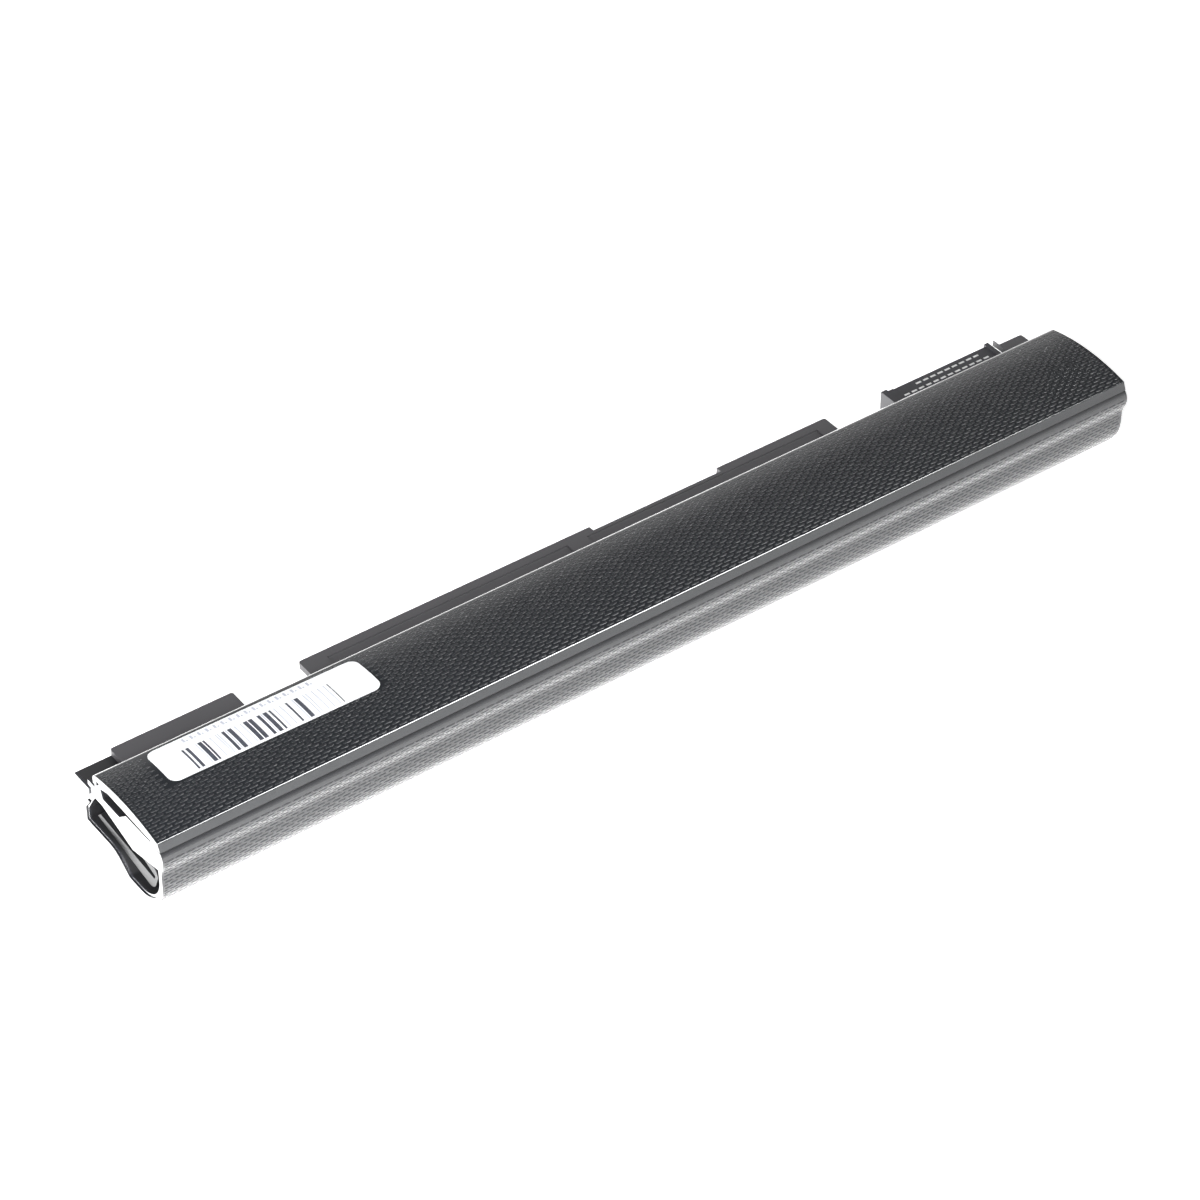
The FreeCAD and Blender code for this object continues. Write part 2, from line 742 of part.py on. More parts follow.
# A rib makes a narrow loop in the pocket: from the wing forward over the flank, round a short
# turn at the front, and back up to the shelf
skin = S["rib_skin"]
loop_low = S["shell_skin"] - height + S["loop_lift"]
loop_front = inner_front + S["loop_front"]
loop_high = loop_low + S["loop_height"]
loop_turn = S["loop_height"] * 0.45
loop_rear = inner_rear - S["cap_skin"] * 1.8
loop_wing = wing_floor + S["cap_skin"] * 1.9
rib_outline = [
    (loop_front + loop_turn * 2, loop_low),
    (loop_front + loop_turn * 0.6, loop_low + loop_turn * 0.7, loop_turn * 1.2, -1),
    (loop_front, loop_high - skin / 4),
    (loop_front + skin * 1.4, loop_high + skin * 1.8, skin * 2.2, -1),
    (shelf_middle, -shelf_drop),
    (shelf_middle + skin / 2, -shelf_drop - skin),
    (loop_front + skin * 1.25, loop_high - skin / 2),
    (loop_front + skin * 1.35, loop_high - skin, skin / 2, 1),
    (loop_front + skin * 1.75, loop_high - skin * 1.75),
    (loop_rear - skin * 1.3, loop_wing + skin),
    (loop_rear, loop_wing - skin / 3),
    (cell_y + cell_radius * 0.73, wing_floor + skin / 6),
]
rib_sketch = new_sketch(left_cap, "rib_section", "YZ_Plane", [rib_outline], S["rib_setback"])
pocket_rib = pad(
    left_cap, "pocket_rib", rib_sketch, S["pocket_depth"] - S["rib_setback"] + S["seam"])

# The slot, and the slit that runs on from it towards the front
slot_low = -(S["slot_top"] + S["slot_height"])
slot_step = S["slot_height"] * 0.45
slot_sketch = new_sketch(left_cap, "slot_section", "YZ_Plane", [[
    (S["slot_rear"], -(S["slot_top"] + S["slot_height"] * 0.3)),
    (S["slot_rear"] - slot_step * 2, -S["slot_top"]),
    (S["slot_front"], -S["slot_top"]),
    (S["slit_front"], -(S["slot_top"] + S["slit_height"] / 4)),
    (S["slit_front"], -(S["slot_top"] + S["slit_height"] * 0.8)),
    (S["slot_front"], -(S["slot_top"] + S["slit_height"])),
    (S["slot_front"] + slot_step * 2, slot_low),
    (S["slot_rear"] - S["slot_height"] * 0.2, slot_low),
]])
end_slot = pocket(left_cap, "end_slot", slot_sketch, S["slot_depth"], backward=True)

# The low tab stands behind the end wall, one step down, and tucks under the next flange
low_tab_end = S["low_tab_length"] + S["low_tab_tuck"] - S["cap_inset"]
low_tab_root = S["wall_reach"] - S["wall_skin"] / 2
low_tab_sketch = new_sketch(left_cap, "low_tab_plan", "XY_Plane", [[
    (S["left_cap_depth"] - S["cap_inset"], low_tab_root),
    (S["left_cap_depth"] - S["cap_inset"], S["wall_reach"] + S["seam"]),
    (low_tab_end, S["wall_reach"] + S["seam"]),
    (low_tab_end, S["flange_reach"]),
    (-S["cap_inset"], S["flange_reach"]),
    (-S["cap_inset"], low_tab_root),
]], -S["low_tab_drop"])
low_tab = pad(left_cap, "low_tab", low_tab_sketch, S["flange_skin"], backward=True)

# right_end_cap: plain end wall, hollowed behind
right_cap = new_body("right_end_cap", overall_length - S["cap_inset"])
right_cap_sketch = new_sketch(right_cap, "right_cap_section", "YZ_Plane", [cap_outline])
right_cap_depth = S["end_inset"] - S["seam"] - S["cap_inset"]
right_cap_block = pad(
    right_cap, "right_cap_block", right_cap_sketch, right_cap_depth, backward=True)
hollow_inset = S["shell_skin"] + S["seam"] + S["cap_skin"]
hollow_top = -(S["flange_drop"] + S["cap_skin"])
hollow_rear = tongue_front - S["cap_skin"]
hollow_sketch = new_sketch(right_cap, "hollow_section", "YZ_Plane", [
    belly_forward(hollow_inset, hollow_top) + [
        (hollow_rear, hollow_inset - S["wing_drop"]),
        (hollow_rear, hollow_top),
    ]
], -right_cap_depth)
right_hollow = pocket(
    right_cap, "right_hollow", hollow_sketch, right_cap_depth - S["cap_skin"], backward=True)

# connector_housing: block over the board's end, open to the rear with a slot for each contact
connector_top = -(S["flange_drop"] + S["end_rib_rise"])
connector_rear = S["flange_reach"] - S["end_rib_stand"]
housing = new_body("connector_housing", connector_start)
block_sketch = new_sketch(housing, "housing_plan", "XY_Plane", [rectangle(
    size(0), S["connector_length"], S["connector_front"], connector_rear)], connector_low)
block = pad(housing, "housing_block", block_sketch, connector_top - connector_low)
rib_sketch = new_sketch(housing, "end_ribs_plan", "XY_Plane", [
    rectangle(size(0), S["end_rib"], S["connector_front"], S["flange_reach"]),
    rectangle(S["connector_length"] - S["end_rib"] * 0.75, S["connector_length"],
              S["connector_front"], S["flange_reach"]),
], connector_low)
end_ribs = pad(housing, "end_ribs", rib_sketch, -S["flange_drop"] - connector_low)
step_sketch = new_sketch(housing, "rib_step_plan", "XY_Plane", [rectangle(
    S["end_rib"] / 2, S["end_rib"] * 2, S["connector_front"], connector_rear)],
    connector_top - S["seam"])
rib_step = pad(housing, "rib_step", step_sketch, S["end_rib_rise"] / 2 + S["seam"])
slot_floor = connector_low + S["slot_margin"]
slot_roof = connector_top - S["slot_margin"]
first_contact = (
    S["connector_length"] - S["contact_pitch"] * (S["contact_count"] - 1)) / 2
slot_face = new_sketch(housing, "contact_slot_face", "XZ_Plane", [rectangle(
    first_contact - S["contact_slot"] / 2, first_contact + S["contact_slot"] / 2,
    slot_floor, slot_roof)], -connector_rear)
blade_front = S["connector_front"] + S["front_wall"]
contact_slot = pocket(
    housing, "contact_slot", slot_face, connector_rear - blade_front, backward=True)
tail_plan = new_sketch(housing, "tail_slot_plan", "XY_Plane", [rectangle(
    first_contact - S["contact_slot"] / 2, first_contact + S["contact_slot"] / 2,
    blade_front, blade_front + S["slot_margin"])], connector_low)
tail_slot = pocket(
    housing, "tail_slot", tail_plan, S["slot_margin"] + S["seam"], backward=True)
slot_row = repeat(
    housing, "slot_row", [contact_slot, tail_slot], tail_plan, "H_Axis",
    S["contact_pitch"], S["contact_count"])

# contact_1 and on: forked blades, each with a tail down to the board
blade_half = S["contact_slot"] / 2 - S["seam"]
for number in range(int(S["contact_count"].number)):
    contact = new_body(
        "contact_%d" % (number + 1),
        connector_start + first_contact + S["contact_pitch"] * number)
    fork_plan = new_sketch(contact, "fork_plan_%d" % (number + 1), "XY_Plane", [[
        (blade_half, blade_front + S["seam"]),
        (blade_half, connector_rear - S["slot_margin"]),
        (blade_half - S["contact_sheet"], connector_rear - S["slot_margin"]),
        (blade_half - S["contact_sheet"], blade_front + S["slot_margin"]),
        (S["contact_sheet"] - blade_half, blade_front + S["slot_margin"]),
        (S["contact_sheet"] - blade_half, connector_rear - S["slot_margin"]),
        (-blade_half, connector_rear - S["slot_margin"]),
        (-blade_half, blade_front + S["seam"]),
    ]], slot_floor + S["seam"])
    fork = pad(contact, "fork_%d" % (number + 1), fork_plan,
               slot_roof - slot_floor - S["seam"] * 2)
    tail_sketch = new_sketch(contact, "tail_plan_%d" % (number + 1), "XY_Plane", [rectangle(
        -blade_half, blade_half, blade_front + S["seam"],
        blade_front + S["slot_margin"] - S["seam"])], board_top)
    tail = pad(contact, "tail_%d" % (number + 1), tail_sketch,
               slot_floor - board_top + S["seam"] * 2)

# protection_board and the parts soldered to it, placed from the connector's left end
board_width = inner_rear - S["board_fit"] - board_y
chip_y = board_y + board_width / 2
part_y = S["connector_front"] - S["board_fit"]
fuse_start = connector_start - S["fuse_inset"]
new_box("protection_board", board_start, board_y, board_low,
        S["board_length"], board_width, S["board_sheet"])


def new_chip(label, inset, length, tall, legs):
    """Moulded chip on the board, with a row of small feet along both sides."""
    half = S["chip_width"] / 2
    chip = new_body(label, connector_start - inset, chip_y, board_top)
    plan = new_sketch(chip, label + "_plan", "XY_Plane", [rectangle(
        length * -0.5, length * 0.5, half * -1, half)], S["seam"])
    pad(chip, label + "_moulding", plan, tall)
    first = S["leg_pitch"] * (legs - 1) * -0.5
    foot_plan = new_sketch(chip, label + "_foot_plan", "XY_Plane", [rectangle(
        first - S["leg_width"] / 2, first + S["leg_width"] / 2,
        half * -1 - S["leg_reach"], half + S["leg_reach"])])
    foot = pad(chip, label + "_foot", foot_plan, S["seam"] * 2)
    repeat(chip, label + "_feet", [foot], foot_plan, "H_Axis", S["leg_pitch"], legs)


new_chip("sensing_chip", S["sensing_inset"], S["sensing_length"], S["chip_height"], 8)
new_chip("protector_chip", S["protector_inset"], S["protector_length"], S["chip_height"], 4)
new_chip("charge_switch", S["charge_inset"], S["switch_length"], S["switch_height"], 4)
new_chip("discharge_switch", S["discharge_inset"], S["switch_length"], S["switch_height"], 4)
new_box("chemical_fuse", fuse_start, chip_y - S["fuse_width"] / 2, board_top,
        S["fuse_length"], S["fuse_width"], S["fuse_height"])
new_box("sense_resistor", connector_start + S["resistor_width"], part_y - S["resistor_width"],
        board_top, S["resistor_length"], S["resistor_width"], S["resistor_height"])
for number in range(1, 5):
    new_box("capacitor_%d" % number,
            connector_start + S["resistor_length"] + S["capacitor_pitch"] * number,
            part_y - S["capacitor_width"], board_top,
            S["capacitor_length"], S["capacitor_width"], S["capacitor_width"])

# cell_1 to cell_3: steel cans end to end, each with a bead groove, a bevelled rim and a raised
# button at its positive end, to the right. A shrink sleeve folds over both ends, over a paper
# ring at the positive one.
can_radius = cell_radius - S["sleeve_skin"]
can_length = S["cell_length"] - S["button_rise"]
button_radius = S["button_diameter"] / 2
bead = S["bead_depth"]
ring_outer = can_radius - S["ring_inset"]
ring_inner = button_radius + S["ring_inset"] * 2
fold_inner = can_radius - S["sleeve_fold"]
sleeve_end = can_length + S["ring_sheet"] + S["sleeve_skin"]
for number in range(3):
    cell_x = cell_start + cell_step * number
    name = "cell_%d" % (number + 1)
    cell = new_body(name, cell_x, cell_y, cell_z)
    revolve(cell, name + "_can", new_sketch(cell, name + "_profile", "XY_Plane", [[
        (can_length, button_radius),
        (can_length, can_radius - bead / 2),
        (can_length - bead / 2, can_radius),
        (can_length - bead * 3, can_radius),
        (can_length - bead * 3, can_radius - bead),
        (can_length - bead * 4, can_radius - bead),
        (can_length - bead * 4, can_radius),
        (0, can_radius),
        (0, 0),
        (S["cell_length"], 0),
        (S["cell_length"], button_radius),
    ]]))
    sleeve = new_body(name + "_sleeve", cell_x, cell_y, cell_z)
    revolve(sleeve, name + "_wrap", new_sketch(sleeve, name + "_wrap_profile", "XY_Plane", [[
        (0, fold_inner),
        (-S["sleeve_skin"], fold_inner),
        (-S["sleeve_skin"], cell_radius),
        (sleeve_end, cell_radius),
        (sleeve_end, fold_inner),
        (sleeve_end - S["sleeve_skin"], fold_inner),
        (sleeve_end - S["sleeve_skin"], can_radius),
        (0, can_radius),
    ]]))
    ring = new_body("insulator_ring_%d" % (number + 1), cell_x + can_length, cell_y, cell_z)
    revolve(ring, name + "_ring", new_sketch(ring, name + "_ring_profile", "XY_Plane", [
        rectangle(0, S["ring_sheet"], ring_inner, ring_outer)]))

# Nickel strips: a plate on each end of the row and a folded link in each gap between cells. Each
# has an arm that crosses above the spine and a leg that comes down to its lead or to the board.
half_strip = S["strip_width"] / 2
strip_reach = cell_radius * 0.72
arm_high = flange_under - S["spine_skin"] / 4 - cell_z
arm_low = S["spine_skin"] / 4 - S["spine_drop"] - cell_z
first_lane = board_y + S["lead_diameter"]
lane_step = S["lead_diameter"] + S["spine_skin"] / 2
leg_half = S["lead_diameter"] * 0.58
weld_step = S["strip_width"] * 0.22


def add_arm(strip, name, lane):
    """Riser, arm and leg in the strip's own sheet; the lanes run side by side to the rear."""
    leg_y = first_lane + lane_step * lane - cell_y
    arm_sketch = new_sketch(strip, name + "_section", "YZ_Plane", [[
        (strip_reach, 0),
        (strip_reach, arm_low),
        (leg_y - leg_half, arm_low),
        (leg_y - leg_half, board_top - cell_z),
        (leg_y + leg_half, board_top - cell_z),
        (leg_y + leg_half, arm_high),
        (half_strip, arm_high),
        (half_strip, 0),
    ]])
    return pad(strip, name, arm_sketch, S["strip_sheet"])


def add_welds(strip, name, x):
    """Two weld dimples that reach the flat end of a can."""
    spots = new_sketch(strip, name + "_spots", "YZ_Plane", [], x)
    for y in (-1, 1):
        add_circle(spots, weld_step * y, 0, weld_step / 2)
    return pad(strip, name, spots, S["sleeve_skin"])


for label, x in (("strip_negative", cell_start - S["strip_sheet"] - S["sleeve_skin"]),
                 ("strip_positive", cells_end)):
    strip = new_body(label, x, cell_y, cell_z)
    plate_sketch = new_sketch(strip, label + "_plate_section", "YZ_Plane", [rounded(
        -strip_reach, strip_reach, -half_strip, half_strip, half_strip * 0.3)])
    pad(strip, label + "_plate", plate_sketch, S["strip_sheet"])
    add_arm(strip, label + "_arm", 0)
    if label == "strip_negative":
        add_welds(strip, label + "_welds", S["strip_sheet"])
fold_outer = (S["cell_gap"] - S["sleeve_skin"]) / 2
fold_in = fold_outer - S["strip_sheet"]
for number in (1, 2):
    label = "link_%d" % number
    link = new_body(label, cell_start + cell_step * number - S["cell_gap"], cell_y, cell_z)
    fold_sketch = new_sketch(link, label + "_fold_plan", "XY_Plane", [[
        (0, -strip_reach),
        (fold_outer, -strip_reach - fold_outer, fold_outer, 1),
        (fold_outer * 2, -strip_reach, fold_outer, 1),
        (fold_outer * 2, strip_reach - fold_outer),
        (fold_outer * 2 - S["strip_sheet"], strip_reach - fold_outer),
        (fold_outer * 2 - S["strip_sheet"], -strip_reach),
        (fold_outer, -strip_reach - fold_in, fold_in, -1),
        (S["strip_sheet"], -strip_reach, fold_in, -1),
        (S["strip_sheet"], strip_reach),
        (0, strip_reach),
    ]], -half_strip)
    pad(link, label + "_fold", fold_sketch, S["strip_width"])
    add_arm(link, label + "_arm", number)
    add_welds(link, label + "_welds", fold_outer * 2)

# Leads from the strips to the board, lying on the cross ribs and ending short of the fuse
for label, x, lane, width, short in (
        ("wire_negative", cell_start - S["sleeve_skin"], 0, S["lead_diameter"], 3),
        ("wire_sense_1", cell_start + cell_step - S["cell_gap"] + S["strip_sheet"], 1,
         S["sense_diameter"], 2),
        ("wire_sense_2", cell_start + cell_step * 2 - S["cell_gap"] + S["strip_sheet"], 2,
         S["sense_diameter"], 1)):
    lead = new_body(label, x, first_lane + lane_step * lane, board_top + width / 2)
    core = new_sketch(lead, label + "_section", "YZ_Plane", [])
    add_circle(core, 0, 0, width / 2)
    lead_end = larger(fuse_start - S["chip_width"] * short, x + S["lead_diameter"])
    pad(lead, label + "_run", core, lead_end - x)

# thermistor: bead against the last cell, its flat lead bent down to the board
bead_radius = S["sense_diameter"] * 0.85
bead_z = flange_under - S["sense_diameter"] * 0.75
bead_away = cell_radius + bead_radius
bead_y = cell_y + root(bead_away * bead_away - (bead_z - cell_z) * (bead_z - cell_z))
half_lead = S["sense_diameter"] / 2
lead_turn = S["sense_diameter"] * 1.5
lead_out = tongue_front - S["sense_diameter"] - bead_y
lead_foot = board_top - bead_z
drum_half = bead_radius * 1.3
drum_round = bead_radius / 2
thermistor = new_body("thermistor", fuse_start - S["fuse_length"], bead_y, bead_z)
drum_profile = new_sketch(thermistor, "drum_profile", "XY_Plane", [[
    (drum_half, 0),
    (drum_half - drum_round, bead_radius),
    (drum_round - drum_half, bead_radius),
    (-drum_half, 0),
]])
revolve(thermistor, "drum", drum_profile)
lead_section = new_sketch(thermistor, "flat_lead_section", "YZ_Plane", [[
    (0, half_lead),
    (0, -half_lead),
    (lead_out - lead_turn, -half_lead),
    (lead_out - half_lead, -lead_turn, lead_turn - half_lead, -1),
    (lead_out - half_lead, lead_foot),
    (lead_out + half_lead, lead_foot),
    (lead_out + half_lead, -lead_turn),
    (lead_out - lead_turn, half_lead, lead_turn + half_lead, 1),
]], -half_lead)
pad(thermistor, "flat_lead", lead_section, S["sense_diameter"])

# Foam pads: one above each cell, under the cover, and a round one at each end of the row
pad_half = S["pad_width"] / 2
for number in range(3):
    label = "cell_pad_%d" % (number + 1)
    foam = new_body(label, cell_start + cell_step * number + (
        S["cell_length"] - S["pad_length"]) / 2)
    foam_low = cell_z + root(cell_radius * cell_radius - pad_half * pad_half)
    foam_sketch = new_sketch(foam, label + "_section", "YZ_Plane", [[
        (cell_y + pad_half, crown_at(cell_y + pad_half, S["cover_skin"])),
        (cell_y - pad_half, crown_at(cell_y - pad_half, S["cover_skin"]),
         crown_radius - S["cover_skin"], 1),
        (cell_y - pad_half, foam_low),
        (cell_y + pad_half, foam_low, cell_radius, -1),
    ]])
    pad(foam, label + "_block", foam_sketch, S["pad_length"])
for label, x, thick in (
        ("end_pad_left", S["left_cap_depth"],
         cell_start - S["strip_sheet"] - S["sleeve_skin"] - S["left_cap_depth"]),
        ("end_pad_right", cells_end + S["strip_sheet"], S["cell_gap"])):
    foam = new_body(label, x, cell_y, cell_z)
    disc = new_sketch(foam, label + "_section", "YZ_Plane", [])
    add_circle(disc, 0, 0, strip_reach)
    pad(foam, label + "_disc", disc, thick)

# barcode_label: thin layer on the crown, cut to a rounded rectangle that sits a little askew
label_x = S["label_left"] + S["label_length"] / 2
label_y = S["label_front"] + S["label_width"] / 2
layer_front = S["label_front"] - S["label_corner"]
layer_rear = S["label_front"] + S["label_width"] + S["label_corner"]
layer_start = S["label_left"] - S["label_corner"]
layer = new_body("label_layer", layer_start, node=False)
layer_sketch = new_sketch(layer, "layer_section", "YZ_Plane", [[
    (layer_rear, crown_at(layer_rear, -S["label_sheet"])),
    (layer_front, crown_at(layer_front, -S["label_sheet"]), crown_radius + S["label_sheet"], 1),
    (layer_front, crown_at(layer_front, 0)),
    (layer_rear, crown_at(layer_rear, 0), crown_radius, -1),
]])
pad(layer, "layer_sheet", layer_sketch, S["label_length"] + S["label_corner"] * 2)
blank = new_body("label_blank", label_x, label_y, 0, node=False)
bind(blank, "Placement.Rotation.Angle", S["label_turn"])
blank_sketch = new_sketch(blank, "blank_plan", "XY_Plane", [rounded(
    S["label_length"] * -0.5, S["label_length"] * 0.5, S["label_width"] * -0.5,
    S["label_width"] * 0.5, S["label_corner"])], -S["crown_rise"])
pad(blank, "blank_block", blank_sketch, S["crown_rise"] * 3)
label = doc.addObject("Part::Common", "barcode_label")
label.Label = "barcode_label"
label.Base = layer
label.Tool = blank
NODES.append(label)

# Everything is looked over before any file is written
doc.recompute()
for thing in doc.Objects:
    if "Invalid" in thing.State or "Error" in thing.State:
        raise RuntimeError("not well built: " + thing.Label)
for body, feature in CUTS:
    before = feature.BaseFeature.Shape.Volume
    if not 0 < before - feature.Shape.Volume < before:
        raise RuntimeError("cut removes nothing: " + feature.Label)
for node in NODES:
    if node.Shape.isNull() or not node.Shape.isValid() or len(node.Shape.Solids) != 1:
        raise RuntimeError("not one sound solid: " + node.Label)
os.makedirs("parts", exist_ok=True)
for node in NODES:
    node.Shape.exportStep("parts/%s.step" % node.Label)
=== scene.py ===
import math
import random

import bmesh
import bpy
from mathutils import Matrix, Vector
from mathutils.bvhtree import BVHTree


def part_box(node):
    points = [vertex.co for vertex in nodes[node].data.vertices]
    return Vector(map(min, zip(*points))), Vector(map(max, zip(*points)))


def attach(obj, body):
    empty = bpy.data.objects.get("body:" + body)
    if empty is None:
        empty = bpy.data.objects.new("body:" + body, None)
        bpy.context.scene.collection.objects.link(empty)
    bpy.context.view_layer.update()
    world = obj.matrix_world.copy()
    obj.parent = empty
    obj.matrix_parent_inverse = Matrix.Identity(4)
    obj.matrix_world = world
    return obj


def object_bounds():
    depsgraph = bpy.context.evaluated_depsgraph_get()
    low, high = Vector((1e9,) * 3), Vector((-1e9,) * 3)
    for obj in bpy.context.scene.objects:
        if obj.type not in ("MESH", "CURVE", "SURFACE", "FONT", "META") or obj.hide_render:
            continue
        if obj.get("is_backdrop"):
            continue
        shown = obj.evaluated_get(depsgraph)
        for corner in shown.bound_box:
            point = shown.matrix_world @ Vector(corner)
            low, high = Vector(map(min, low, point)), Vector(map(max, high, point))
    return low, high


# A slim battery bar for a small laptop. Everything is in metres in the frame of the packed
# model: x along the bar to its connector end, y to the rear flanges, z up.
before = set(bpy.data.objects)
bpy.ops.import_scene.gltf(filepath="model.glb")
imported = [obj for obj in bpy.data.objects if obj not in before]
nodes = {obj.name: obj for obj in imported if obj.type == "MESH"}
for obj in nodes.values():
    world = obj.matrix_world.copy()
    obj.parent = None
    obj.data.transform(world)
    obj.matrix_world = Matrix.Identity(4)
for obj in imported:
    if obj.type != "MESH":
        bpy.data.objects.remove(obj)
cad_low, cad_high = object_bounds()
mm = 0.001

# ---------------------------------------------------------------- camera
# The photograph looks down on the front and the left end of the bar from about half a metre
# away, with a long lens. The place is worked out from the bar's parallel edges, measured from
# the left end of the ridge where the crowned cover meets its front bevel.
camera_turn = math.radians(36.17)
camera_drop = math.radians(40.40)
camera_side = 89.51 * mm
camera_lift = 49.40 * mm
camera_away = 776.86 * mm
image_width = 1200
focal_pixels = 3843.4
bevel_depth = 1.6 * mm
ridge_height = 21.4 * mm
ridge_left = Vector((cad_low.x, cad_low.y + bevel_depth, ridge_height))

to_right = Vector((math.cos(camera_turn), -math.sin(camera_turn), 0))
to_back = Vector((math.sin(camera_turn), math.cos(camera_turn), 0))
forward = to_back * math.cos(camera_drop) + Vector((0, 0, -math.sin(camera_drop)))
to_top = to_back * math.sin(camera_drop) + Vector((0, 0, math.cos(camera_drop)))
camera_data = bpy.data.cameras.new("photograph_camera")
camera_data.sensor_width = 36
camera_data.lens = camera_data.sensor_width * focal_pixels / image_width
camera_data.clip_start = 0.05
camera_data.clip_end = 20
camera = bpy.data.objects.new("photograph_camera", camera_data)
bpy.context.collection.objects.link(camera)
eye = ridge_left + to_right * camera_side + to_top * camera_lift - forward * camera_away
facing = Matrix((to_right, to_top, -forward)).transposed().to_4x4()
camera.matrix_world = Matrix.Translation(eye) @ facing
bpy.context.scene.camera = camera

# ---------------------------------------------------------------- cells
# Three 18 x 65 mm cells in a row. Each is a deep-drawn can of nickel-plated steel, whose
# rolled side has fine lines along the drawing direction and a soft metal sheen.


def srgb(code):
    """Linear colour, with alpha, of an sRGB hex value."""
    parts = [int(code[i:i + 2], 16) / 255 for i in (1, 3, 5)]
    return [p / 12.92 if p <= 0.04045 else ((p + 0.055) / 1.055) ** 2.4 for p in parts] + [1]


def add_node(tree, kind, inputs=None, **settings):
    """Adds a node, with its settings, and sets or links its inputs."""
    node = tree.nodes.new(kind)
    for name, value in settings.items():
        setattr(node, name, value)
    for name, value in (inputs or {}).items():
        if isinstance(value, bpy.types.NodeSocket):
            tree.links.new(value, node.inputs[name])
        else:
            node.inputs[name].default_value = value
    return node


def new_material(name):
    """Empty node tree of a new material, and the place on the object that patterns follow."""
    material = bpy.data.materials.new(name)
    material.use_nodes = True
    material.node_tree.nodes.clear()
    place = add_node(material.node_tree, "ShaderNodeTexCoord").outputs["Object"]
    return material, material.node_tree, place


def blend(tree, share, dark, light):
    """Colour output between two sRGB hex values, by a pattern's share of the second."""
    return add_node(tree, "ShaderNodeMix", {
        0: share, 6: srgb(dark), 7: srgb(light)}, data_type="RGBA").outputs[2]


def dress(material, *names):
    """Gives CAD nodes their finish."""
    for name in names:
        for held in nodes[name].material_slots:
            held.material = material


can_steel, tree, place = new_material("nickel_plated_drawn_steel")
stretched = add_node(tree, "ShaderNodeMapping", {"Vector": place, "Scale": (40, 900, 900)})
lines = add_node(tree, "ShaderNodeTexNoise", {
    "Vector": stretched.outputs[0], "Scale": 1.0, "Detail": 3.0})
sheen = add_node(tree, "ShaderNodeMapRange", {
    "Value": lines.outputs[0], "To Min": 0.24, "To Max": 0.38})
tint = blend(tree, lines.outputs[0], "#b4b4b2", "#cfcfcc")
shader = add_node(tree, "ShaderNodeBsdfPrincipled", {
    "Base Color": tint, "Metallic": 1.0, "Roughness": sheen.outputs[0]})
add_node(tree, "ShaderNodeOutputMaterial", {"Surface": shader.outputs[0]})
dress(can_steel, "cell_1", "cell_2", "cell_3")

# ---------------------------------------------------------------- sleeves and rings
# Each can wears a blue polyester sleeve, shrunk on with hot air, and a ring of pressed paper
# round its positive button. The film is glossy, with a faint mottle where it shrank.
sleeve_film, tree, place = new_material("shrunk_polyester_film")
mottle = add_node(tree, "ShaderNodeTexNoise", {"Vector": place, "Scale": 260.0, "Detail": 2.0})
tint = blend(tree, mottle.outputs[0], "#2f63a8", "#3b73ba")
ripple = add_node(tree, "ShaderNodeBump", {
    "Height": mottle.outputs[0], "Strength": 0.15, "Distance": 0.05 * mm})
shader = add_node(tree, "ShaderNodeBsdfPrincipled", {
    "Base Color": tint, "Roughness": 0.22, "IOR": 1.57, "Normal": ripple.outputs[0]})
add_node(tree, "ShaderNodeOutputMaterial", {"Surface": shader.outputs[0]})
dress(sleeve_film, "cell_1_sleeve", "cell_2_sleeve", "cell_3_sleeve")

ring_paper, tree, place = new_material("pressed_insulating_paper")
fibre = add_node(tree, "ShaderNodeTexNoise", {"Vector": place, "Scale": 2500.0, "Detail": 4.0})
tint = blend(tree, fibre.outputs[0], "#dcdccf", "#efefe6")
shader = add_node(tree, "ShaderNodeBsdfPrincipled", {
    "Base Color": tint, "Roughness": 0.85, "IOR": 1.5})
add_node(tree, "ShaderNodeOutputMaterial", {"Surface": shader.outputs[0]})
dress(ring_paper, "insulator_ring_1", "insulator_ring_2", "insulator_ring_3")

# ---------------------------------------------------------------- nickel strips
# Pure nickel strip, cold rolled, cut and folded, then spot welded to the cans. Rolling leaves a
# warm grey metal with fine lines along the strip and a slightly uneven sheen.
nickel, tree, place = new_material("rolled_nickel_strip")
stretched = add_node(tree, "ShaderNodeMapping", {"Vector": place, "Scale": (900, 60, 900)})
lines = add_node(tree, "ShaderNodeTexNoise", {
    "Vector": stretched.outputs[0], "Scale": 1.0, "Detail": 2.0})
sheen = add_node(tree, "ShaderNodeMapRange", {
    "Value": lines.outputs[0], "To Min": 0.28, "To Max": 0.42})
tint = blend(tree, lines.outputs[0], "#b9b3a8", "#d2ccc0")
shader = add_node(tree, "ShaderNodeBsdfPrincipled", {
    "Base Color": tint, "Metallic": 1.0, "Roughness": sheen.outputs[0]})
add_node(tree, "ShaderNodeOutputMaterial", {"Surface": shader.outputs[0]})
dress(nickel, "strip_negative", "strip_positive", "link_1", "link_2")

# ---------------------------------------------------------------- circuit board
# Glass-epoxy laminate with a green solder mask, which is glossy over the fine weave of the
# glass cloth. Moulded chips, a ceramic fuse, a metal resistor and ceramic capacitors sit on it.
board_mask, tree, place = new_material("solder_masked_glass_epoxy")
cloth = add_node(tree, "ShaderNodeTexWave", {"Vector": place, "Scale": 320.0, "Distortion": 0.5})
tint = blend(tree, cloth.outputs[1], "#1a5330", "#22633a")
shader = add_node(tree, "ShaderNodeBsdfPrincipled", {
    "Base Color": tint, "Roughness": 0.35, "IOR": 1.55})
add_node(tree, "ShaderNodeOutputMaterial", {"Surface": shader.outputs[0]})
dress(board_mask, "protection_board")

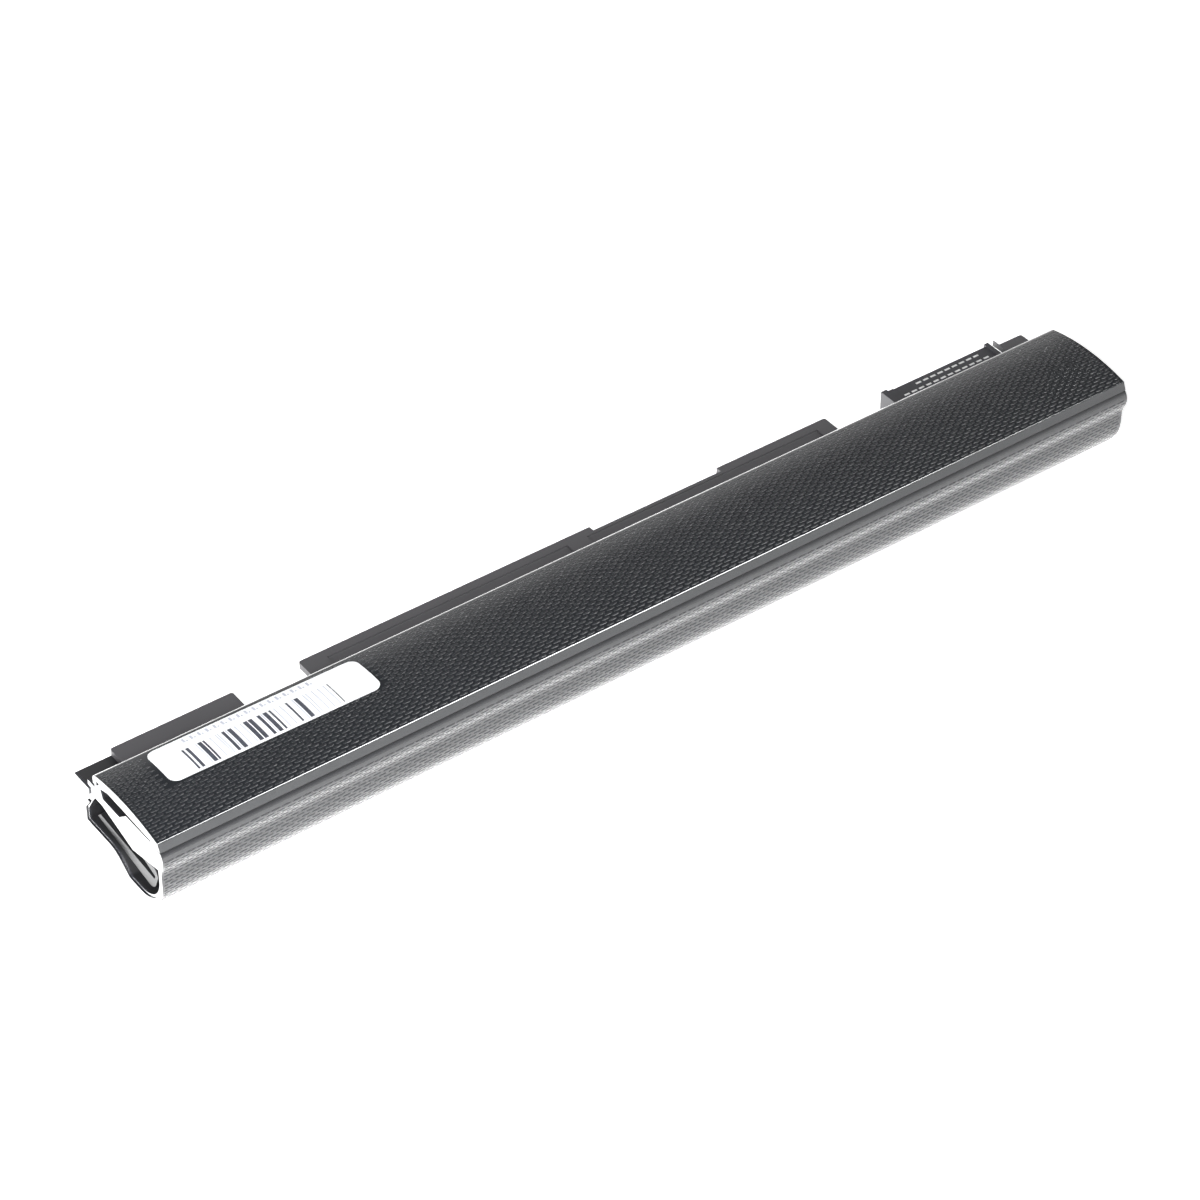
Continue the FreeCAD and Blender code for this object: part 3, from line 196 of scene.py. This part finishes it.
chip_resin, tree, place = new_material("moulded_epoxy_resin")
grain = add_node(tree, "ShaderNodeTexNoise", {"Vector": place, "Scale": 5000.0, "Detail": 3.0})
tint = blend(tree, grain.outputs[0], "#1d1d20", "#2b2b2f")
pits = add_node(tree, "ShaderNodeBump", {
    "Height": grain.outputs[0], "Strength": 0.2, "Distance": 0.02 * mm})
shader = add_node(tree, "ShaderNodeBsdfPrincipled", {
    "Base Color": tint, "Roughness": 0.6, "IOR": 1.55, "Normal": pits.outputs[0]})
add_node(tree, "ShaderNodeOutputMaterial", {"Surface": shader.outputs[0]})
dress(chip_resin, "sensing_chip", "protector_chip", "charge_switch", "discharge_switch")

fuse_ceramic, tree, place = new_material("pressed_white_ceramic")
grain = add_node(tree, "ShaderNodeTexNoise", {"Vector": place, "Scale": 3000.0, "Detail": 2.0})
tint = blend(tree, grain.outputs[0], "#d6d5cc", "#e4e3dc")
shader = add_node(tree, "ShaderNodeBsdfPrincipled", {
    "Base Color": tint, "Roughness": 0.5, "IOR": 1.6})
add_node(tree, "ShaderNodeOutputMaterial", {"Surface": shader.outputs[0]})
dress(fuse_ceramic, "chemical_fuse")

capacitor_ceramic, tree, place = new_material("fired_tan_ceramic")
grain = add_node(tree, "ShaderNodeTexNoise", {"Vector": place, "Scale": 4000.0, "Detail": 2.0})
tint = blend(tree, grain.outputs[0], "#a98f6e", "#b99e7c")
shader = add_node(tree, "ShaderNodeBsdfPrincipled", {
    "Base Color": tint, "Roughness": 0.45, "IOR": 1.6})
add_node(tree, "ShaderNodeOutputMaterial", {"Surface": shader.outputs[0]})
dress(capacitor_ceramic, "capacitor_1", "capacitor_2", "capacitor_3", "capacitor_4")

resistor_metal, tree, place = new_material("rolled_manganin_strip")
grain = add_node(tree, "ShaderNodeTexNoise", {"Vector": place, "Scale": 2500.0, "Detail": 2.0})
sheen = add_node(tree, "ShaderNodeMapRange", {
    "Value": grain.outputs[0], "To Min": 0.3, "To Max": 0.45})
shader = add_node(tree, "ShaderNodeBsdfPrincipled", {
    "Base Color": srgb("#a8a29a"), "Metallic": 1.0, "Roughness": sheen.outputs[0]})
add_node(tree, "ShaderNodeOutputMaterial", {"Surface": shader.outputs[0]})
dress(resistor_metal, "sense_resistor")

# ---------------------------------------------------------------- leads and thermistor
# Silicone-insulated leads, black for the thick one and white for the two thin ones, and a
# thermistor dipped in dark epoxy. Extruded silicone is smooth with a faint dull bloom.
for name, low, high, wires in (
        ("black_extruded_silicone", "#141415", "#1d1d1e", ["wire_negative"]),
        ("white_extruded_silicone", "#d9d9d3", "#e6e6e1", ["wire_sense_1", "wire_sense_2"])):
    silicone, tree, place = new_material(name)
    bloom = add_node(tree, "ShaderNodeTexNoise", {"Vector": place, "Scale": 500.0})
    tint = blend(tree, bloom.outputs[0], low, high)
    shader = add_node(tree, "ShaderNodeBsdfPrincipled", {
        "Base Color": tint, "Roughness": 0.5, "IOR": 1.43})
    add_node(tree, "ShaderNodeOutputMaterial", {"Surface": shader.outputs[0]})
    dress(silicone, *wires)

dipped_epoxy, tree, place = new_material("dipped_dark_epoxy")
flow = add_node(tree, "ShaderNodeTexNoise", {"Vector": place, "Scale": 700.0})
tint = blend(tree, flow.outputs[0], "#171514", "#24201e")
shader = add_node(tree, "ShaderNodeBsdfPrincipled", {
    "Base Color": tint, "Roughness": 0.2, "IOR": 1.55})
add_node(tree, "ShaderNodeOutputMaterial", {"Surface": shader.outputs[0]})
dress(dipped_epoxy, "thermistor")

# ---------------------------------------------------------------- foam pads
# Die-cut pads of dark closed-cell foam that keep the row of cells still. The cut faces are
# dull, with open pores about a third of a millimetre across.
pore_size = 0.35 * mm
pad_foam, tree, place = new_material("closed_cell_foam")
pores = add_node(tree, "ShaderNodeTexVoronoi", {"Vector": place, "Scale": 1 / pore_size})
tint = blend(tree, pores.outputs[0], "#1c1c1e", "#34343a")
dents = add_node(tree, "ShaderNodeBump", {
    "Height": pores.outputs[0], "Strength": 0.6, "Distance": 0.1 * mm})
shader = add_node(tree, "ShaderNodeBsdfPrincipled", {
    "Base Color": tint, "Roughness": 0.95, "IOR": 1.45, "Normal": dents.outputs[0]})
add_node(tree, "ShaderNodeOutputMaterial", {"Surface": shader.outputs[0]})
dress(pad_foam, "cell_pad_1", "cell_pad_2", "cell_pad_3", "end_pad_left", "end_pad_right")

# ---------------------------------------------------------------- contacts
# Eight forked contacts of stamped phosphor bronze with a thin flash of gold, which keeps the
# colour even and the sheen bright, with faint lines left by the stamping.
contact_gold, tree, place = new_material("gold_flashed_bronze")
stamped = add_node(tree, "ShaderNodeTexNoise", {"Vector": place, "Scale": 3500.0, "Detail": 2.0})
sheen = add_node(tree, "ShaderNodeMapRange", {
    "Value": stamped.outputs[0], "To Min": 0.2, "To Max": 0.34})
shader = add_node(tree, "ShaderNodeBsdfPrincipled", {
    "Base Color": srgb("#dcb765"), "Metallic": 1.0, "Roughness": sheen.outputs[0]})
add_node(tree, "ShaderNodeOutputMaterial", {"Surface": shader.outputs[0]})
dress(contact_gold, *["contact_%d" % number for number in range(1, 9)])

# ---------------------------------------------------------------- lower shell
# The belly is one moulding of graphite ABS. Its tool is etched with a weave: rows of small
# rounded lozenges, each row shifted by half a pitch, on a glossy ground.
weave_pitch = 2.56 * mm
weave_row = 0.86 * mm
weave_inset = 0.3 * mm
lozenge_half = 1.27 * mm
shortest_half = 0.25 * mm
lozenge_width = 0.31 * mm
lozenge_rise = 0.024 * mm
lozenge_root = 0.012 * mm
lozenge_outline = ((1, 0), (0.84, 0.8), (0, 1), (-0.84, 0.8),
                   (-1, 0), (-0.84, -0.8), (0, -1), (0.84, -0.8))
shoulder_share = 0.62
shoulder_rise = lozenge_rise * 0.72
crest_share = 0.52
seat_above = 1 * mm
seat_reach = 2 * mm
far_off = 60 * mm
trace_rays = 720
gloss_spread = 0.03


def moulded_plastic(name, dark, light, gloss, coat):
    """ABS whose colour and sheen vary a little, with a very fine moulded grain."""
    material, tree, place = new_material(name)
    cloud = add_node(tree, "ShaderNodeTexNoise", {"Vector": place, "Scale": 45.0, "Detail": 3.0})
    grain = add_node(tree, "ShaderNodeTexNoise", {
        "Vector": place, "Scale": 4200.0, "Detail": 2.0})
    tint = blend(tree, cloud.outputs[0], dark, light)
    sheen = add_node(tree, "ShaderNodeMapRange", {
        "Value": cloud.outputs[0], "To Min": gloss - gloss_spread,
        "To Max": gloss + gloss_spread})
    etched = add_node(tree, "ShaderNodeBump", {
        "Height": grain.outputs[0], "Strength": 0.12, "Distance": 0.02 * mm})
    shader = add_node(tree, "ShaderNodeBsdfPrincipled", {
        "Base Color": tint, "Roughness": sheen.outputs[0], "IOR": 1.54,
        "Coat Weight": coat, "Coat Roughness": 0.07, "Coat IOR": 1.5,
        "Normal": etched.outputs[0]})
    add_node(tree, "ShaderNodeOutputMaterial", {"Surface": shader.outputs[0]})
    return material


def surface_tree(name):
    """Search tree over a CAD node's faces."""
    shape = bmesh.new()
    shape.from_mesh(nodes[name].data)
    found = BVHTree.FromBMesh(shape)
    shape.free()
    return found


def walk(tree, x, centre, first, last, step):
    """Points a step apart along a node's outer section at x, between two angles seen from the
    centre, each with the direction out of the surface."""
    inner = Vector((x, centre[0], centre[1]))
    traced = []
    for k in range(trace_rays + 1):
        angle = math.radians(first + (last - first) * k / trace_rays)
        out = Vector((0, math.cos(angle), math.sin(angle)))
        hit, normal = tree.ray_cast(inner + out * far_off, -out)[:2]
        if hit:
            traced.append((hit, normal if normal.dot(out) > 0 else -normal))
    kept = []
    due = 0.0
    gone = 0.0
    for (before, turn_before), (after, turn_after) in zip(traced, traced[1:]):
        run = (after - before).length
        while run > 0 and due <= gone + run:
            share = (due - gone) / run
            turn = turn_before.lerp(turn_after, share).normalized()
            kept.append((before.lerp(after, share), turn))
            due += step
        gone += run
    return kept


def mesh_object(name, points, faces, material):
    """New object of a mesh with one material."""
    mesh = bpy.data.meshes.new(name)
    mesh.from_pydata([tuple(point) for point in points], [], faces)
    mesh.update()
    mesh.materials.append(material)
    made = bpy.data.objects.new(name, mesh)
    bpy.context.collection.objects.link(made)
    return made


def weave(name, tree, rows, x_first, x_last, material, skip=None):
    """Rounded lozenges seated on a surface along a section's rows: one mesh of closed bumps, cut
    short at the two ends of the row and left out where skip says so."""
    along = Vector((1, 0, 0))
    corners = len(lozenge_outline)
    count = int((x_last - x_first) / weave_pitch)
    points = []
    faces = []
    for index, (centre, out) in enumerate(rows):
        across = out.cross(along)
        for k in range(-1, count + 1):
            start = x_first + weave_pitch * (k + 0.5 * (index % 2))
            end = min(start + lozenge_half * 2, x_last)
            start = max(start, x_first)
            half = (end - start) / 2
            if half < shortest_half:
                continue
            above = Vector((start + half, centre.y, centre.z)) + out * seat_above
            middle = tree.ray_cast(above, -out, seat_reach)[0]
            if middle is None or (skip and skip(middle)):
                continue
            base = len(points)
            for share, height in ((1.0, -lozenge_root), (shoulder_share, shoulder_rise)):
                for u, v in lozenge_outline:
                    points.append(middle + along * u * half * share
                                  + across * v * lozenge_width * share + out * height)
            for u in (crest_share, -crest_share):
                points.append(middle + along * u * half + out * lozenge_rise)
            for a in range(corners):
                b = (a + 1) % corners
                faces.append((base + a, base + b, base + corners + b, base + corners + a))
            ring = range(base + corners, base + 2 * corners)
            first, second = base + 2 * corners, base + 2 * corners + 1
            faces += [(ring[7], ring[0], first), (ring[0], ring[1], first),
                      (ring[1], ring[2], first), (ring[2], second, first),
                      (ring[2], ring[3], second), (ring[3], ring[4], second),
                      (ring[4], ring[5], second), (ring[5], ring[6], second),
                      (ring[6], first, second), (ring[6], ring[7], first)]
            faces.append(tuple(base + corners - 1 - a for a in range(corners)))
    piece = mesh_object(name, points, faces, material)
    piece.data.shade_smooth()
    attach(piece, "root")


shell_plastic = moulded_plastic("glossy_graphite_abs_shell", "#1d1e21", "#222327", 0.17, 1.0)
etched_plastic = moulded_plastic("etched_graphite_abs", "#1a1c20", "#1f2125", 0.285, 0.0)
dress(shell_plastic, "bottom_shell")
shell_faces = surface_tree("bottom_shell")
cell_low, cell_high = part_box("cell_1")
cell_middle = ((cell_low.y + cell_high.y) / 2, (cell_low.z + cell_high.z) / 2)
shell_low, shell_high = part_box("bottom_shell")
plain_edge = 0.55 * mm
plain_foot = 0.25 * mm
front_from, front_to = 150, 262
front_rows = [
    (point, out)
    for point, out in walk(shell_faces, 0, cell_middle, front_from, front_to, weave_row)
    if plain_foot < point.z < shell_high.z - plain_edge and out.y < 0]
weave("shell_weave", shell_faces, front_rows, shell_low.x + weave_inset,
      shell_high.x - weave_inset, etched_plastic)

# ---------------------------------------------------------------- parting shade strip
# A thin strip of dull black stands in the groove between the shell's edge and the cover, just
# behind both edges. It is painted shade: it darkens the parting to one dark line along the
# front.
# painted shade: a near-black colour stands in for the shadow inside the groove
groove_shade_material = moulded_plastic("painted_groove_shade", "#060606", "#0a0a0a", 0.9, 0.0)
shade_strip_setback = 0.04 * mm
shade_strip_depth = 0.3 * mm
shade_strip_play = 0.015 * mm
groove_height = 0.25 * mm
just_below = 0.02 * mm
before_edge = Vector((0, -far_off, shell_high.z - just_below))
edge_point = shell_faces.ray_cast(before_edge, Vector((0, 1, 0)))[0]
shade_strip_front = edge_point.y + shade_strip_setback
shade_strip_rear = shade_strip_front + shade_strip_depth
shade_strip_low = shell_high.z + shade_strip_play
shade_strip_high = shell_high.z + groove_height - shade_strip_play
shade_strip_points = [
    (x, y, z) for x in (shell_low.x + weave_inset, shell_high.x - weave_inset)
    for y, z in ((shade_strip_front, shade_strip_low), (shade_strip_rear, shade_strip_low),
                 (shade_strip_rear, shade_strip_high), (shade_strip_front, shade_strip_high))]
shade_strip_faces = [(0, 1, 5, 4), (1, 2, 6, 5), (2, 3, 7, 6), (3, 0, 4, 7), (3, 2, 1, 0), (4, 5, 6, 7)]
shade_strip = mesh_object("painted_parting_shade", shade_strip_points, shade_strip_faces, groove_shade_material)
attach(shade_strip, "root")

# ---------------------------------------------------------------- end caps
# Gloss black ABS mouldings that close both ends. The polished end wall of the left one picks up
# the white table. What lies deeper, its pocket and slot, is dull from the unpolished core of the
# tool, and its colour is painted darker there as painted shade in the recess.
end_wall = 0.6 * mm
polish_edge = 0.1 * mm
pocket_starts = cad_low.x + end_wall
end_plastic, tree, place = new_material("polished_black_abs_end")
cloud = add_node(tree, "ShaderNodeTexNoise", {"Vector": place, "Scale": 180.0, "Detail": 3.0})
tint = blend(tree, cloud.outputs[0], "#2f3034", "#37383d")
split = add_node(tree, "ShaderNodeSeparateXYZ", {"Vector": place})
inside = add_node(tree, "ShaderNodeMapRange", {
    "Value": split.outputs["X"], "From Min": pocket_starts,
    "From Max": pocket_starts + polish_edge})
# painted shade: past the end wall, in the pocket and slot, the colour goes darker to #1d1d1f
painted_pocket_shade = add_node(tree, "ShaderNodeMix", {
    0: inside.outputs[0], 6: tint, 7: srgb("#1d1d1f")}, data_type="RGBA")
polish = add_node(tree, "ShaderNodeMapRange", {
    "Value": inside.outputs[0], "To Min": 0.16, "To Max": 0.45})
skin = add_node(tree, "ShaderNodeMapRange", {
    "Value": inside.outputs[0], "To Min": 1.0, "To Max": 0.0})
shader = add_node(tree, "ShaderNodeBsdfPrincipled", {
    "Base Color": painted_pocket_shade.outputs[2], "Roughness": polish.outputs[0], "IOR": 1.54,
    "Coat Weight": skin.outputs[0], "Coat Roughness": 0.06, "Coat IOR": 1.6})
add_node(tree, "ShaderNodeOutputMaterial", {"Surface": shader.outputs[0]})
dress(end_plastic, "left_end_cap", "right_end_cap")

# ---------------------------------------------------------------- rear frame
# The frame with the flanges is matte black PC/ABS with a spark-eroded grain: it slides in the
# laptop's bay, so it is left plain and dull. The connector's housing in it is satin nylon.
frame_plastic, tree, place = new_material("spark_eroded_black_plastic")
grain = add_node(tree, "ShaderNodeTexNoise", {"Vector": place, "Scale": 3200.0, "Detail": 3.0})
cloud = add_node(tree, "ShaderNodeTexNoise", {"Vector": place, "Scale": 60.0, "Detail": 2.0})
tint = blend(tree, cloud.outputs[0], "#39383b", "#403f42")
eroded = add_node(tree, "ShaderNodeBump", {
    "Height": grain.outputs[0], "Strength": 0.25, "Distance": 0.03 * mm})
shader = add_node(tree, "ShaderNodeBsdfPrincipled", {
    "Base Color": tint, "Roughness": 0.52, "IOR": 1.56, "Normal": eroded.outputs[0]})
add_node(tree, "ShaderNodeOutputMaterial", {"Surface": shader.outputs[0]})
dress(frame_plastic, "rear_frame")

connector_plastic, tree, place = new_material("satin_black_nylon")
grain = add_node(tree, "ShaderNodeTexNoise", {"Vector": place, "Scale": 2600.0, "Detail": 3.0})
tint = blend(tree, grain.outputs[0], "#303034", "#38383c")
moulded = add_node(tree, "ShaderNodeBump", {
    "Height": grain.outputs[0], "Strength": 0.15, "Distance": 0.02 * mm})
shader = add_node(tree, "ShaderNodeBsdfPrincipled", {
    "Base Color": tint, "Roughness": 0.4, "IOR": 1.53, "Normal": moulded.outputs[0]})
add_node(tree, "ShaderNodeOutputMaterial", {"Surface": shader.outputs[0]})
dress(connector_plastic, "connector_housing")

# ---------------------------------------------------------------- cover
# The crowned cover is the same graphite ABS as the shell, with the same etched weave between a
# smooth ridge in front and a smooth rim at the rear. No lozenge is set under the label.
cover_plastic = moulded_plastic("glossy_graphite_abs_cover", "#14171b", "#191c21", 0.17, 1.0)
dress(cover_plastic, "top_cover")
cover_faces = surface_tree("top_cover")
cover_low, cover_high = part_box("top_cover")
cover_middle = ((cover_low.y + cover_high.y) / 2, cover_low.z)
label_low, label_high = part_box("barcode_label")
label_turn = math.radians(-0.7)
label_centre = (label_low + label_high) / 2
label_half_length = 25.8 * mm
label_half_width = 6.0 * mm
rim_width = 1.5 * mm
crown_slope = 0.8
cover_from, cover_to = 172, 8


def under_label(point):
    """Whether a lozenge at a point would touch the label."""
    away = point - label_centre
    u = away.x * math.cos(label_turn) + away.y * math.sin(label_turn)
    v = away.y * math.cos(label_turn) - away.x * math.sin(label_turn)
    return (abs(u) < label_half_length + lozenge_half
            and abs(v) < label_half_width + lozenge_width)


cover_rows = [
    (point, out)
    for point, out in walk(cover_faces, 0, cover_middle, cover_from, cover_to, weave_row)
    if out.z > crown_slope and cover_low.y + rim_width < point.y < cover_high.y - rim_width]
weave("cover_weave", cover_faces, cover_rows, cover_low.x + weave_inset,
      cover_high.x - weave_inset, etched_plastic, under_label)

# ---------------------------------------------------------------- label
# A small stock label of coated paper with rounded corners, stuck on by hand a little askew. Its
# print is plain: wide bars in blue-black ink, thin ones and a row of short dashes worn to grey.
label_paper, tree, place = new_material("coated_label_paper")
fibre = add_node(tree, "ShaderNodeTexNoise", {"Vector": place, "Scale": 1500.0, "Detail": 4.0})
tint = blend(tree, fibre.outputs[0], "#eceef1", "#f6f7f9")
shader = add_node(tree, "ShaderNodeBsdfPrincipled", {
    "Base Color": tint, "Roughness": 0.45, "IOR": 1.5})
add_node(tree, "ShaderNodeOutputMaterial", {"Surface": shader.outputs[0]})
dress(label_paper, "barcode_label")

label_faces = surface_tree("barcode_label")
ink_rise = 0.012 * mm
ink_rows = 5


def print_ink(name, dark, light, scale):
    """Satin ink whose colour is a little uneven."""
    material, tree, place = new_material(name)
    wear = add_node(tree, "ShaderNodeTexNoise", {"Vector": place, "Scale": scale, "Detail": 3.0})
    tint = blend(tree, wear.outputs[0], dark, light)
    shader = add_node(tree, "ShaderNodeBsdfPrincipled", {
        "Base Color": tint, "Roughness": 0.5, "IOR": 1.5})
    add_node(tree, "ShaderNodeOutputMaterial", {"Surface": shader.outputs[0]})
    return material


def print_on(tree, name, marks, turn, centre, material):
    """Thin closed plates of ink on a surface: each mark is u0, u1, v0, v1 from the centre."""
    points = []
    faces = []
    for u0, u1, v0, v1 in marks:
        base = len(points)
        for level in (-ink_rise, ink_rise):
            for k in range(ink_rows):
                v = v0 + (v1 - v0) * k / (ink_rows - 1)
                for u in (u0, u1):
                    x = centre.x + u * math.cos(turn) - v * math.sin(turn)
                    y = centre.y + u * math.sin(turn) + v * math.cos(turn)
                    hit = tree.ray_cast(Vector((x, y, far_off)), Vector((0, 0, -1)))[0]
                    points.append((x, y, hit.z + level))
        top = base + ink_rows * 2
        for k in range(ink_rows - 1):
            a = k * 2
            faces.append((top + a, top + a + 1, top + a + 3, top + a + 2))
            faces.append((base + a, base + a + 2, base + a + 3, base + a + 1))
            faces.append((base + a, top + a, top + a + 2, base + a + 2))
            faces.append((base + a + 1, base + a + 3, top + a + 3, top + a + 1))
        end = ink_rows * 2 - 2
        faces.append((base, base + 1, top + 1, top))
        faces.append((base + end, top + end, top + end + 1, base + end + 1))
    piece = mesh_object(name, points, faces, material)
    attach(piece, "root")


label_ink = print_ink("thermal_print_ink", "#23252c", "#4b4f5d", 900.0)
pale_ink = print_ink("worn_print_ink", "#a5a9b8", "#c9ccd6", 900.0)
bars_start = -19.2 * mm
bars_end = 16.6 * mm
bars_front = -5.4 * mm
bars_rear = 1.9 * mm
bar_module = 0.24 * mm
thin_limit = bar_module * 1.5
dice = random.Random(7)
bars = []
thin_bars = []
u = bars_start
while u < bars_end:
    wide = bar_module * dice.choice((1, 1, 2, 3, 4))
    drawn = bars if wide > thin_limit else thin_bars
    drawn.append((u, min(u + wide, bars_end), bars_front, bars_rear))
    u += wide + bar_module * dice.choice((1, 2, 2, 3, 5, 7))
print_on(label_faces, "label_bars", bars, label_turn, label_centre, label_ink)
print_on(label_faces, "label_thin_bars", thin_bars, label_turn, label_centre, pale_ink)
dashes_start = -17.3 * mm
dashes_end = 14.6 * mm
dashes_front = 4.0 * mm
tall_dash, tall_width = 1.4 * mm, 0.55 * mm
low_dash, low_from, low_to = 0.5 * mm, 0.75 * mm, 1.15 * mm
dashes_pitch = 1.9 * mm
dashes = []
u = dashes_start
while u < dashes_end:
    dashes.append((u, u + tall_width, dashes_front, dashes_front + tall_dash))
    dashes.append((u + low_from, u + low_to, dashes_front, dashes_front + low_dash))
    u += dashes_pitch
print_on(label_faces, "label_dashes", dashes, label_turn, label_centre, pale_ink)

# ---------------------------------------------------------------- connector print
# Two rows of plain white dashes, pad printed on the connector's flat top between its end ribs.
# They stand in for the lettering there, so they read as nothing.
white_ink = print_ink("white_pad_print_ink", "#c9c9c9", "#ececec", 1200.0)
connector_low, connector_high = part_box("connector_housing")
connector_centre = (connector_low + connector_high) / 2
dash_length = 1.5 * mm
dash_gap = 0.7 * mm
dash_height = 0.55 * mm
right_margin = 3.0 * mm
rows_inset_and_indent = ((1.7 * mm, 9.0 * mm), (3.6 * mm, 4.0 * mm))
marks = []
for inset, indent in rows_inset_and_indent:
    row = connector_high.y - connector_centre.y - inset
    u = connector_low.x - connector_centre.x + indent
    while u + dash_length < connector_high.x - connector_centre.x - right_margin:
        marks.append((u, u + dash_length, row - dash_height, row))
        u += dash_length + dash_gap
print_on(surface_tree("connector_housing"), "connector_dashes", marks, 0, connector_centre,
         white_ink)

# ---------------------------------------------------------------- studio
# A white table under soft light, as for a catalogue picture: a broad lamp high in front that
# only shines in reflections, a small one at the left, and two cards of light on the table.
table_half = 3
glow_to_camera = 0.75
glow_to_reflections = 0.85
horizon_height = -0.05
horizon_light = 1.75
zenith_height = 0.6
zenith_light = 0.16
floor_white, tree, place = new_material("white_laminate_table")
grain = add_node(tree, "ShaderNodeTexNoise", {"Vector": place, "Scale": 60.0})
tint = blend(tree, grain.outputs[0], "#f4f4f4", "#f8f8f8")
rays = add_node(tree, "ShaderNodeLightPath")
seen = add_node(tree, "ShaderNodeMath", {
    0: rays.outputs["Is Glossy Ray"], 1: rays.outputs["Is Transmission Ray"]},
    operation="MAXIMUM")
camera_share = add_node(tree, "ShaderNodeMath", {
    0: rays.outputs["Is Camera Ray"], 1: glow_to_camera}, operation="MULTIPLY")
seen_share = add_node(tree, "ShaderNodeMath", {
    0: seen.outputs[0], 1: glow_to_reflections}, operation="MULTIPLY")
lift = add_node(tree, "ShaderNodeMath", {
    0: seen_share.outputs[0], 1: camera_share.outputs[0]}, operation="MAXIMUM")
matte = add_node(tree, "ShaderNodeBsdfDiffuse", {"Color": tint})
glow = add_node(tree, "ShaderNodeEmission", {"Color": (1, 1, 1, 1), "Strength": lift.outputs[0]})
both = add_node(tree, "ShaderNodeAddShader", {0: matte.outputs[0], 1: glow.outputs[0]})
add_node(tree, "ShaderNodeOutputMaterial", {"Surface": both.outputs[0]})
table_corners = [(-table_half, -table_half, 0), (table_half, -table_half, 0),
                 (table_half, table_half, 0), (-table_half, table_half, 0)]
floor = mesh_object("table_top", table_corners, [(0, 1, 2, 3)], floor_white)
floor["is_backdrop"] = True

world = bpy.data.worlds.new("studio_world")
bpy.context.scene.world = world
world.use_nodes = True
tree = world.node_tree
tree.nodes.clear()
rays = add_node(tree, "ShaderNodeLightPath")
direction = add_node(tree, "ShaderNodeTexCoord").outputs["Generated"]
split = add_node(tree, "ShaderNodeSeparateXYZ", {"Vector": direction})
low_share = add_node(tree, "ShaderNodeMapRange", {
    "Value": split.outputs["Z"], "From Min": horizon_height, "From Max": zenith_height,
    "To Min": horizon_light, "To Max": zenith_light}, interpolation_type="SMOOTHSTEP")
strength = add_node(tree, "ShaderNodeMix", {
    0: rays.outputs["Is Camera Ray"], 2: low_share.outputs[0], 3: 1.0}, data_type="FLOAT")
backdrop = add_node(tree, "ShaderNodeBackground", {
    "Color": (1, 1, 1, 1), "Strength": strength.outputs[0]})
add_node(tree, "ShaderNodeOutputWorld", {"Surface": backdrop.outputs[0]})


def lamp(name, at, toward, size_x, size_y, power, lights_table=True):
    """Soft rectangular lamp, hidden from the camera."""
    data = bpy.data.lights.new(name, "AREA")
    data.shape = "RECTANGLE"
    data.size = size_x
    data.size_y = size_y
    data.energy = power
    held = bpy.data.objects.new(name, data)
    bpy.context.collection.objects.link(held)
    held.location = at
    held.rotation_euler = (Vector(toward) - Vector(at)).to_track_quat("-Z", "Y").to_euler()
    held.visible_camera = False
    held.visible_diffuse = lights_table


lamp("key_lamp", at=(0.35, -0.36, 0.78), toward=(0, 0, 0.01), size_x=0.44, size_y=0.42,
     power=24, lights_table=False)
lamp("left_lamp", at=(-0.42, -0.32, 0.36), toward=(-0.1, -0.08, 0), size_x=0.25, size_y=0.25,
     power=7)
lamp("left_card", at=(-0.181, 0.02, 0.0005), toward=(-0.181, 0.02, 1), size_x=0.10, size_y=0.16,
     power=0.12)
lamp("rear_card", at=(0.0, 0.07, 0.0005), toward=(0.0, 0.07, 1), size_x=0.262, size_y=0.10,
     power=0.2)

bpy.context.scene.view_settings.view_transform = "Standard"
low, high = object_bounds()
